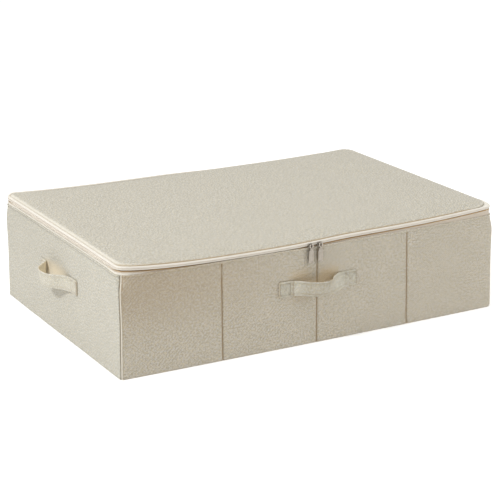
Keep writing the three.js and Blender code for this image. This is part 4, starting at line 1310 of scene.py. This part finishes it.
def strap(name, side, line, split, tw, droop=2.2, nodes=()):
    """A cloth strap sewn to a wall at both ends. line: (t, n) centre line in world direction t along the wall, n off
    the wall.
    Built as two halves that meet at split."""
    pts, run = curve_through(line)
    tan = np.gradient(pts, axis=0)
    tan /= np.linalg.norm(tan, axis=1)[:, None]
    nrm = np.stack([-tan[:, 1], tan[:, 0]], 1)
    w = np.array([-14.0, -13.85, -13.3, -12.2, -10.2, -7, -3.5, 0, 3.5, 7, 10.2, 12.2, 13.3, 13.85, 14.0]) * STRAP / 28.0
    rim_w = STRAP / 2
    half_t = 1.0 * np.clip(1 - (np.abs(w) / rim_w) ** 10, 0.05, 1) ** 0.5 + 0.12 * np.exp(-((np.abs(w) - rim_w + 1.4) / 0.8) ** 2) - 0.16 * np.exp(-((np.abs(w) - rim_w + 3.2) / 0.6) ** 2)
    peak = max(p[1] for p in line)
    T, W = np.meshgrid(np.arange(len(pts)), w, indexing="ij")
    lift = np.clip(pts[T, 1] / peak, 0, 1)
    folded = 1 + 0.45 * (1 - smooth(0, 0.12, lift))            # the sewn ends are turned under, so they are thicker
    H = half_t[np.arange(len(w))][None, :] * folded
    cup = 0.5 * (W / rim_w) ** 2 * smooth(0.1, 0.6, lift)
    soft = waves(run[T], W, tw, 5, 26, 70, 0.16) * smooth(0.05, 0.4, lift)
    zc = STRAP_Z - droop * smooth(0, 1, lift) + 0.5 * np.sin(run[T] / 19.0) * smooth(0.1, 0.5, lift)
    sgn = 1.0

    turn = smooth(10, 27, pts[T, 0]) if side == "front" else 0.0     # the front strap's right half hangs with its lower edge out
    tilt = 0.17 * smooth(0.12, 0.7, lift) * (1 - turn) - 0.24 * smooth(0.0, 0.2, lift) * turn

    def place(sign):
        off = sign * H - cup + soft + tilt * W
        t = pts[T, 0] + nrm[T, 0] * off * sgn
        n = pts[T, 1] + nrm[T, 1] * off * sgn
        s = t if side in ("front", "right") else -t           # wall frames run to the right seen from outside
        z = zc + W
        n = n + bow(side, s, z)
        if side in ("front",):
            n = n + 0.0
        return to_world(side, s, n, z)
    a, b = place(1), place(-1)
    uv = np.stack([run[T], W], -1)
    total = run[-1]
    ends = np.minimum(run[T], total - run[T])
    # painted shade: dark lines along grooves near the strap's edges, at its turned-under ends and at the front strap's
    # folds, and a darker left half on the front strap, as in its shade
    painted_shade = 0.22 * np.exp(-((np.abs(W) - rim_w + 3.2) / 0.7) ** 2) + 0.7 * np.exp(-(ends / 0.9) ** 2)
    if side == "front":
        painted_shade = painted_shade + 0.75 * np.exp(-((pts[T, 0] + 51.2) / 0.9) ** 2) + 0.45 * np.exp(-((pts[T, 0] + 54.6) / 0.8) ** 2)
        painted_shade = painted_shade + 0.2 * (1 - turn) * smooth(0.25, 0.7, lift)
    cut = int(np.argmin(np.abs(pts[:, 0] - split)))
    halves = []
    for tag, sl, lo_end in (("a", slice(0, cut + 1), True), ("b", slice(cut, len(pts)), False)):
        # painted warm light on the strap's inner face, which lies in shade, and a painted highlight over the whole end
        # straps
        ob = shell(f"{name}_strap_{tag}", a[sl], b[sl], M["strap"], uv[sl], painted_shade[sl], inner_warm_shade=0.75 * smooth(-0.1, 0.06, lift[sl]),
                   painted_highlight=np.full(lift[sl].shape, 0.15 if side != "front" else 0.0))
        t0 = 49.0 * (-1 if lo_end else 1)
        t1 = 22.0 * (-1 if lo_end else 1)
        s0, s1 = (t0, t1) if side in ("front", "right") else (-t0, -t1)
        p0, p1 = to_world(side, s0, 0.0, STRAP_Z), to_world(side, s1, 0.0, STRAP_Z)
        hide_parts(*nodes[tag])
        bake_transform(ob)
        halves.append(ob)
    # box-and-cross stitching on both patches
    P, D, O = [], [], []
    for lo, hi in ((min(p[0] for p in line), -55.0 if side == "front" else -48.0), (47.0 if side == "front" else 49.5, max(p[0] for p in line))):
        lo, hi = (lo + 2.0, hi - 1.2) if lo < 0 else (lo + 1.2, hi - 2.0)
        e = rim_w - 2.4
        corners = [(lo, -e), (hi, -e), (hi, e), (lo, e)]
        segs = [(corners[i], corners[(i + 1) % 4]) for i in range(4)] + [(corners[0], corners[2]), (corners[1], corners[3])]
        for (x0, w0), (x1, w1) in segs:
            L = math.hypot(x1 - x0, w1 - w0)
            k = max(2, int(round(L / 2.9)))
            for i in range(k):
                f = (i + 0.5) / k
                t, ww = x0 + (x1 - x0) * f, w0 + (w1 - w0) * f
                n = np.interp(t, pts[:, 0], pts[:, 1]) + 1.46
                s = t if side in ("front", "right") else -t
                ds = (x1 - x0) if side in ("front", "right") else -(x1 - x0)
                base = float(bow(side, np.array(s), np.array(STRAP_Z + ww)))
                P.append(to_world(side, s, n + base, STRAP_Z + ww))
                D.append(to_world(side, ds, 0.0, w1 - w0) - to_world(side, 0.0, 0.0, 0.0))
                O.append(to_world(side, 0.0, 1.0, 0.0) - to_world(side, 0.0, 0.0, 0.0))
    ob = stitch_row(f"{name}_stitches", P, D, O, M["thread_handle" if side == "front" else "thread"], 2.1, 0.34, 0.03)
    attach(ob, "box")
    return halves


STRAP, STRAP_Z = 25.0, 100.4
C = 1.55      # a sewn-down strap's centre line, off the wall
FRONT_LINE = [(-75, C), (-68, C), (-60, C), (-56.5, C), (-54.0, C + 0.4), (-52.2, C + 2.3), (-50.2, C + 2.4), (-47.5, C + 2.6), (-40, C + 6.4), (-31, C + 11.6),
              (-22, C + 16.2), (-14, C + 19.4), (-6, C + 20.9), (2, C + 20.6), (10, C + 18.2), (18, C + 14.0), (25.5, C + 9.6), (32, C + 6.0), (38, C + 3.0), (43, C + 0.9), (47, C),
              (54, C), (62, C), (70, C)]
strap("front_handle", "front", FRONT_LINE, 3.0, 61, 2.2,
      {"a": ("front_handle_end_left", "front_handle_strap"), "b": ("front_handle_end_right",)})
END_LINE = [(-70, C), (-62, C), (-55, C), (-49, C), (-45.5, C + 0.6), (-41, C + 2.0), (-35, C + 4.4), (-28, C + 8.0), (-20, C + 13.6), (-12, C + 18.8), (-3, C + 22.4),
            (6, C + 24.0), (15, C + 24.2), (23, C + 23.0), (30, C + 19.8), (35.5, C + 14.8), (39.5, C + 9.6), (43.5, C + 5.0), (47.5, C + 1.5), (51, C), (57, C), (63, C), (69, C)]
strap("left_handle", "left", END_LINE, 9.0, 62, 2.0,
      {"a": ("left_handle_end_front", "left_handle_strap"), "b": ("left_handle_end_back",)})
strap("right_handle", "right", [(t, C + (n - C) * 0.6) for t, n in END_LINE], 9.0, 63, 2.0,
      {"a": ("right_handle_end_front", "right_handle_strap"), "b": ("right_handle_end_back",)})


# ------------------------------------------------------------------ sliders and pulls
def flat_shape(name, loops, half, bevel, res=3):
    """A plate with rounded edges from closed outlines; inner loops are holes. It lies in XZ, and half is its half thickness."""
    cu = bpy.data.curves.new(name, "CURVE")
    cu.dimensions = "2D"
    cu.fill_mode = "BOTH"
    cu.extrude = (half - bevel) * 0.001
    cu.bevel_depth = bevel * 0.001
    cu.bevel_resolution = res
    for loop in loops:
        sp = cu.splines.new("POLY")
        sp.points.add(len(loop) - 1)
        for p, (x, y) in zip(sp.points, loop):
            p.co = (x * 0.001, y * 0.001, 0, 1)
        sp.use_cyclic_u = True
    ob = bpy.data.objects.new(name, cu)
    bpy.context.scene.collection.objects.link(ob)
    bpy.context.view_layer.update()
    me = bpy.data.meshes.new_from_object(ob.evaluated_get(bpy.context.evaluated_depsgraph_get()))
    bpy.data.objects.remove(ob)
    me.transform(Matrix.Rotation(math.radians(90), 4, "X"))       # outline's y to +Z, its face to -Y
    out = bpy.data.objects.new(name, me)
    bpy.context.scene.collection.objects.link(out)
    bm = bmesh.new()
    bm.from_mesh(me)
    bmesh.ops.remove_doubles(bm, verts=bm.verts, dist=2e-6)
    bmesh.ops.recalc_face_normals(bm, faces=bm.faces)
    bm.to_mesh(me)
    bm.free()
    me.polygons.foreach_set("use_smooth", [True] * len(me.polygons))
    return out


def arc(cx, cy, r, a0, a1, n):
    return [(cx + r * math.cos(math.radians(a0 + (a1 - a0) * i / n)), cy + r * math.sin(math.radians(a0 + (a1 - a0) * i / n))) for i in range(n + 1)]


def rounded(points, r, n=5):
    """Rounds the corners of a closed outline."""
    out = []
    k = len(points)
    for i in range(k):
        p, a, b = Vector(points[i]), Vector(points[i - 1]), Vector(points[(i + 1) % k])
        rr = r[i] if isinstance(r, (list, tuple)) else r
        da, db = (a - p), (b - p)
        cut = min(rr, da.length * 0.48, db.length * 0.48)
        s, e = p + da.normalized() * cut, p + db.normalized() * cut
        for j in range(n + 1):
            t = j / n
            q = s * (1 - t) ** 2 + p * 2 * t * (1 - t) + e * t * t
            out.append((q.x, q.y))
    return out


def bar(name, pts, radius, closed=False, k=10):
    pts = np.array(pts, float)
    tan = np.gradient(pts, axis=0) if not closed else np.roll(pts, -1, 0) - np.roll(pts, 1, 0)
    tan /= np.linalg.norm(tan, axis=1)[:, None]
    ref = np.array([1.0, 0, 0])
    up = np.cross(tan, ref)
    up /= np.linalg.norm(up, axis=1)[:, None]
    side = np.cross(up, tan)
    return tube(name, pts, side, up, radius, M["nickel"], k, closed)


def edge_attribute(ob):
    """A mask for the metal's painted dark edges: high where the surface turns sharply."""
    bm = bmesh.new()
    bm.from_mesh(ob.data)
    bm.normal_update()
    vals = []
    for v in bm.verts:
        worst = 0.0
        for e in v.link_edges:
            if len(e.link_faces) == 2:
                worst = max(worst, e.calc_face_angle(0.0))
        vals.append(min(1.0, worst / 0.8))
    bm.free()
    a = ob.data.attributes.get("edge") or ob.data.attributes.new("edge", "FLOAT", "POINT")
    a.data.foreach_set("value", np.array(vals, np.float32))


for i, tag in enumerate(("left", "right")):
    lo, hi = (np.array(v) * 1000 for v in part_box(f"zip_slider_{tag}"))
    x, zc = float(lo[0] + hi[0]) / 2, float(lo[2]) + 4.4
    face = -(HY + 0.3)
    axis_y, axis_z = face - 3.0 - 1.5, zc + 1.2
    w, h = 4.3, 4.4
    shield = rounded([(-w * 0.6, -h), (w * 0.6, -h), (w * 0.84, -h * 0.15), (w, h * 0.5), (w * 0.72, h), (w * 0.22, h * 0.8), (-w * 0.22, h * 0.8), (-w * 0.72, h), (-w, h * 0.5), (-w * 0.84, -h * 0.15)],
                     [1.6, 1.6, 1.5, 1.8, 1.2, 0.6, 0.6, 1.2, 1.8, 1.5])
    top = flat_shape("p0", [shield], 0.65, 0.45, 4)
    top.data.transform(Matrix.Translation((x * 0.001, (face - 2.3) * 0.001, zc * 0.001)))
    low = flat_shape("p1", [[(a * 0.94, b * 0.96) for a, b in shield]], 0.5, 0.3, 3)
    low.data.transform(Matrix.Translation((x * 0.001, (face - 0.5) * 0.001, zc * 0.001)))
    core = flat_shape("p2", [rounded([(-1.7, -1.0), (1.7, -1.0), (1.2, 3.9), (-1.2, 3.9)], 0.8)], 0.75, 0.2, 2)
    core.data.transform(Matrix.Translation((x * 0.001, (face - 1.35) * 0.001, zc * 0.001)))
    # bridge that holds the pull
    path = [(x, face - 2.4, axis_z - 4.3), (x, face - 3.3, axis_z - 4.2)]
    path += [(x, face - 3.5 - 2.15 * math.sin(math.radians(a)), axis_z - 3.35 * math.cos(math.radians(a))) for a in range(10, 175, 11)]
    path += [(x, face - 3.3, axis_z + 3.4), (x, face - 2.4, axis_z + 3.45)]
    bail = bar("p3", path, np.array([1.05] * 2 + [0.95] * (len(path) - 4) + [1.05] * 2))
    for p in (top, low, core):
        p.data.materials.clear()
        p.data.materials.append(M["nickel"])
    ob = join(f"slider_{tag}_body", [top, low, core, bail])
    edge_attribute(ob)
    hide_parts(f"zip_slider_{tag}")
    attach(ob, f"slider_{tag}")

    # pull: a round eye on the bridge, a waist and a slim tab with a raised rim
    tabw = 4.2
    outline = arc(0, 0, 3.5, -52, 232, 22) + [(-1.9, -3.9), (-2.3, -5.4)]
    outline += [(-3.5, -7.2), (-tabw, -9.0), (-tabw, -25.6)] + arc(-tabw + 1.8, -25.6, 1.8, 180, 270, 5)[1:] + arc(tabw - 1.8, -25.6, 1.8, 270, 360, 5) + [(tabw, -9.0), (3.5, -7.2), (2.3, -5.4), (1.9, -3.9)]
    eye = arc(0, 0, 1.75, 0, 360, 16)[:-1]
    plate = flat_shape("q0", [outline, eye], 0.55, 0.3, 3)
    frame_out = [(a, b) for a, b in rounded([(-tabw, -8.8), (-tabw, -27.4), (tabw, -27.4), (tabw, -8.8), (2.6, -6.6), (-2.6, -6.6)], 1.8)]
    frame_in = [(a, b) for a, b in rounded([(-tabw + 1.5, -10.0), (-tabw + 1.5, -25.9), (tabw - 1.5, -25.9), (tabw - 1.5, -10.0), (1.6, -8.3), (-1.6, -8.3)], 1.2)]
    ridge = flat_shape("q1", [frame_out, frame_in], 0.72, 0.4, 3)
    ring = flat_shape("q2", [arc(0, 0, 3.6, 0, 360, 28)[:-1], arc(0, 0, 1.9, 0, 360, 18)[:-1]], 0.85, 0.5, 4)
    for p in (plate, ridge, ring):
        p.data.transform(Matrix.Translation((x * 0.001, axis_y * 0.001, axis_z * 0.001)))
        p.data.materials.clear()
        p.data.materials.append(M["nickel"])
    ob = join(f"pull_{tag}_tab", [plate, ridge, ring])
    edge_attribute(ob)
    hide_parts(f"zip_pull_{tag}")
    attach(ob, f"pull_{tag}")


# ------------------------------------------------------------------ stage and light
def studio():
    me = bpy.data.meshes.new("floor")
    k, size = 24, 14.0
    v = [((i / k - 0.5) * 2 * size, (j / k - 0.5) * 2 * size, -0.0002) for i in range(k + 1) for j in range(k + 1)]
    f = [(i * (k + 1) + j, (i + 1) * (k + 1) + j, (i + 1) * (k + 1) + j + 1, i * (k + 1) + j + 1) for i in range(k) for j in range(k)]
    me.from_pydata(v, [], f)
    floor = bpy.data.objects.new("floor", me)
    bpy.context.scene.collection.objects.link(floor)
    m = Nodes("floor_pale")
    n = m.noise(m.obj(), 3.0, 2.0)
    m.set(Base_Color=m.mix(n, (0.81, 0.81, 0.81, 1), (0.83, 0.83, 0.83, 1)), Roughness=0.9, Specular_IOR_Level=0.1,
          Emission_Color=(1, 0.985, 0.955, 1), Emission_Strength=0.30)
    me.materials.append(m.mat)
    floor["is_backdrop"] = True

    world = bpy.data.worlds.new("studio")
    bpy.context.scene.world = world
    world.use_nodes = True
    bg = world.node_tree.nodes["Background"]
    bg.inputs[0].default_value = (1.0, 0.984, 0.95, 1)
    bg.inputs[1].default_value = 0.42

    def area(name, loc, aim, size, power, color=(1, 1, 1)):
        d = bpy.data.lights.new(name, "AREA")
        d.shape = "RECTANGLE"
        d.size, d.size_y = size
        d.energy, d.color = power, color
        o = bpy.data.objects.new(name, d)
        o.location = loc
        o.rotation_euler = (Vector(aim) - Vector(loc)).to_track_quat("-Z", "Y").to_euler()
        bpy.context.scene.collection.objects.link(o)
    area("overhead", (0.6, 1.0, 4.0), (0.6, 1.0, 0), (7.0, 7.0), 172, (0.99, 0.995, 1.0))
    area("key_left", (-2.35, -0.3, 2.15), (-0.35, -0.1, 0.08), (0.42, 0.42), 50, (0.99, 0.995, 1.0))
    area("fill_right", (1.9, -1.6, 1.2), (0.2, -0.2, 0.1), (0.6, 0.6), 15, (0.985, 0.99, 1.0))


studio()

lo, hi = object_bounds()
